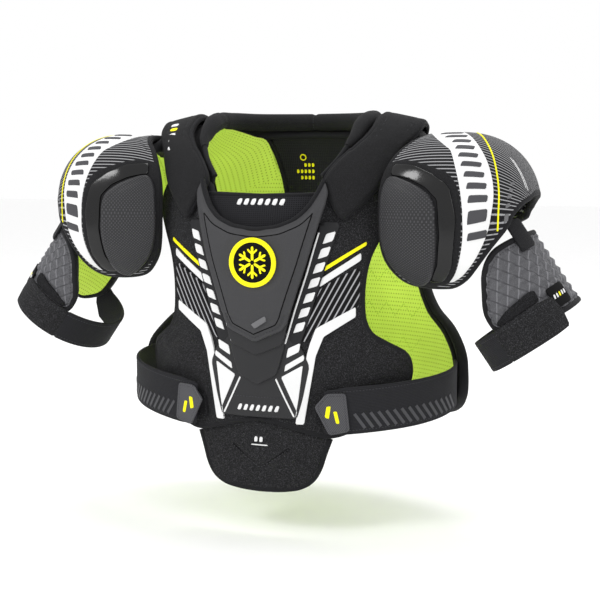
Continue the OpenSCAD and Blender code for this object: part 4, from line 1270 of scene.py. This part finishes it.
class PADS_OT_guards(bpy.types.Operator):
    """Makes the arm guards with pressed facets, linings and straps"""
    bl_idname = "pads.guards"
    bl_label = "Arm guards"

    def execute(self, context):
        def facets(t, h, gap):
            row = np.floor(h / 11)
            a = np.abs((t * 1.12 / 15 + 0.5 * (row % 2)) % 1 - 0.5)
            b = np.abs((h / 11) % 1 - 0.5)
            return (6.0 * (0.5 - np.maximum(a, b)) - 2.0) * np.clip(gap / 6, 0, 1)

        for side in SIDES:
            name, way = side
            body, end = f"arm_guard_{name}", f"arm_strap_end_{name}"
            on = {"side": side, "body": body}

            def blended(piece, places):
                """Bakes the piece's placement into its mesh; the two places on the guard's surface are worked out but
                not used.
                """
                start, stop = GUARD.at(np.array(places), 2.0)[0] * (way, 1, 1) * MM
                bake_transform(piece)

            patch("arm_guard_skin", GUARD, GUARD_LINE, -5.8, -0.5, "guard", "guard_mesh", 2.2, 3.4, 0, facets,
                  detail=2.4, sharp=20, node="bicep_guard", fill=0.4, **on)
            patch("arm_guard_lining", GUARD, GUARD_LINE * 0.985, -9.9, -6.4, "lime", "lime_lining", 1.5, 5, 0,
                  node="bicep_liner", **on)
            tape("arm_guard_binding", GUARD, GUARD_LINE, -9.6, -0.4, 7.0, "guard_mesh", corner=0, shift=1.2, **on)
            seam(GUARD, GUARD_LINE, -0.3, shift=7.0, corner=0, **on)
            patch("arm_strap_cover", GUARD, [(104, -149), (90, -136), (84, -122), (86, -105), (103, -111),
                                             (170, -112), (246, -112), (246, -150), (170, -150)], 0.6, 3.4, "elastic",
                  "elastic", 1.2, 5, 1, node="bicep_strap", **on)
            tongue = patch("arm_strap_end_cover", GUARD, [(-116, -150), (-116, -112), (-62, -111), (-46, -113),
                                                          (-43, -131), (-46, -149), (-62, -150)], 0.6, 3.5, "panel",
                           "elastic", 1.2, 3.5, 3, side=side, body=None, node="strap_end")
            blended(tongue, [(-115, -131), (-102, -131)])
            for high in (-116, -146):
                seam(GUARD, [(106, high), (170, high), (243, high)], 3.4, body, False, corner=0, side=side)
                seam(GUARD, [(-104, high), (-75, high), (-50, high)], 3.4, end, False, corner=0, side=side)
            patch("arm_hook_patch", GUARD, [(-108, -106), (-92, -100), (-62, -96), (-56, -98), (-58, -110),
                                            (-108, -111)], -0.6, 1.2, "hook", "elastic", 0.6, corner=3, **on)
            label = [film("label_base", GUARD, [(-46, -104), (-22, -104), (-22, -128), (-46, -128)], -0.5, 1.0, "hole",
                          step=4.0, corner=1, **on)]
            label += bars(GUARD, [(-43, -118), (-41, -118), (-40, -113), (-42, -113)], (4, 0), 5, 0.8, 1.5, odd=2,
                          soft=0.2, step=2, corner=0.3, **on)
            joined(f"arm_label_{name}", label)
            web = patch("guard_webbing_cover", GUARD, [(-44, -58), (-23, -58), (-22, -24), (-43, -20)], 0.6, 2.8,
                        "tape", "webbing", 0.9, 3, 2, side=side, body=None, node="guard_webbing")
            blended(web, [(-33, -28), (-33, -44)])
        return {"FINISHED"}


class PADS_OT_sewing(bpy.types.Operator):
    """Sews every noted row of stitches"""
    bl_idname = "pads.sewing"
    bl_label = "Stitching"

    def execute(self, context):
        sizes = pads()
        tree = repeat_tree("row_of_stitches", "stitch")
        for body, thread in sorted({(s[0], s[1]) for s in SEAMS}):
            rows = [s[2:] for s in SEAMS if s[:2] == (body, thread)]
            repeated(f"stitches_{thread}_{body}", tree, rows, sizes.stitch_gap, (sizes.stitch, 0.85, 0.7), 0, thread,
                     body)
        return {"FINISHED"}



STEPS = (PADS_OT_stage, PADS_OT_front, PADS_OT_chest, PADS_OT_prints, PADS_OT_collar, PADS_OT_yokes, PADS_OT_back,
         PADS_OT_waist, PADS_OT_flap, PADS_OT_caps, PADS_OT_guards, PADS_OT_sewing)


class PADS_PT_panel(bpy.types.Panel):
    """Lists the pieces, their sizes and their colours"""
    bl_label = "Shoulder Pads"
    bl_idname = "PADS_PT_panel"
    bl_space_type = "VIEW_3D"
    bl_region_type = "UI"
    bl_category = "Shoulder Pads"

    def draw(self, context):
        for group in (context.scene.pads_colours, context.scene.pads_sizes):
            for name in group.__annotations__:
                self.layout.prop(group, name)
        for step in STEPS:
            self.layout.operator(step.bl_idname)


CLASSES = (PadsColours, PadsSizes, *STEPS, PADS_PT_panel)


def register():
    for c in CLASSES:
        bpy.utils.register_class(c)
    bpy.types.Scene.pads_colours = PointerProperty(type=PadsColours)
    bpy.types.Scene.pads_sizes = PointerProperty(type=PadsSizes)


def unregister():
    del bpy.types.Scene.pads_sizes
    del bpy.types.Scene.pads_colours
    for c in reversed(CLASSES):
        bpy.utils.unregister_class(c)


def main():
    register()
    SEAMS.clear()
    for step in STEPS:
        getattr(bpy.ops.pads, step.bl_idname.split(".")[1])()


if __name__ == "__main__":
    main()
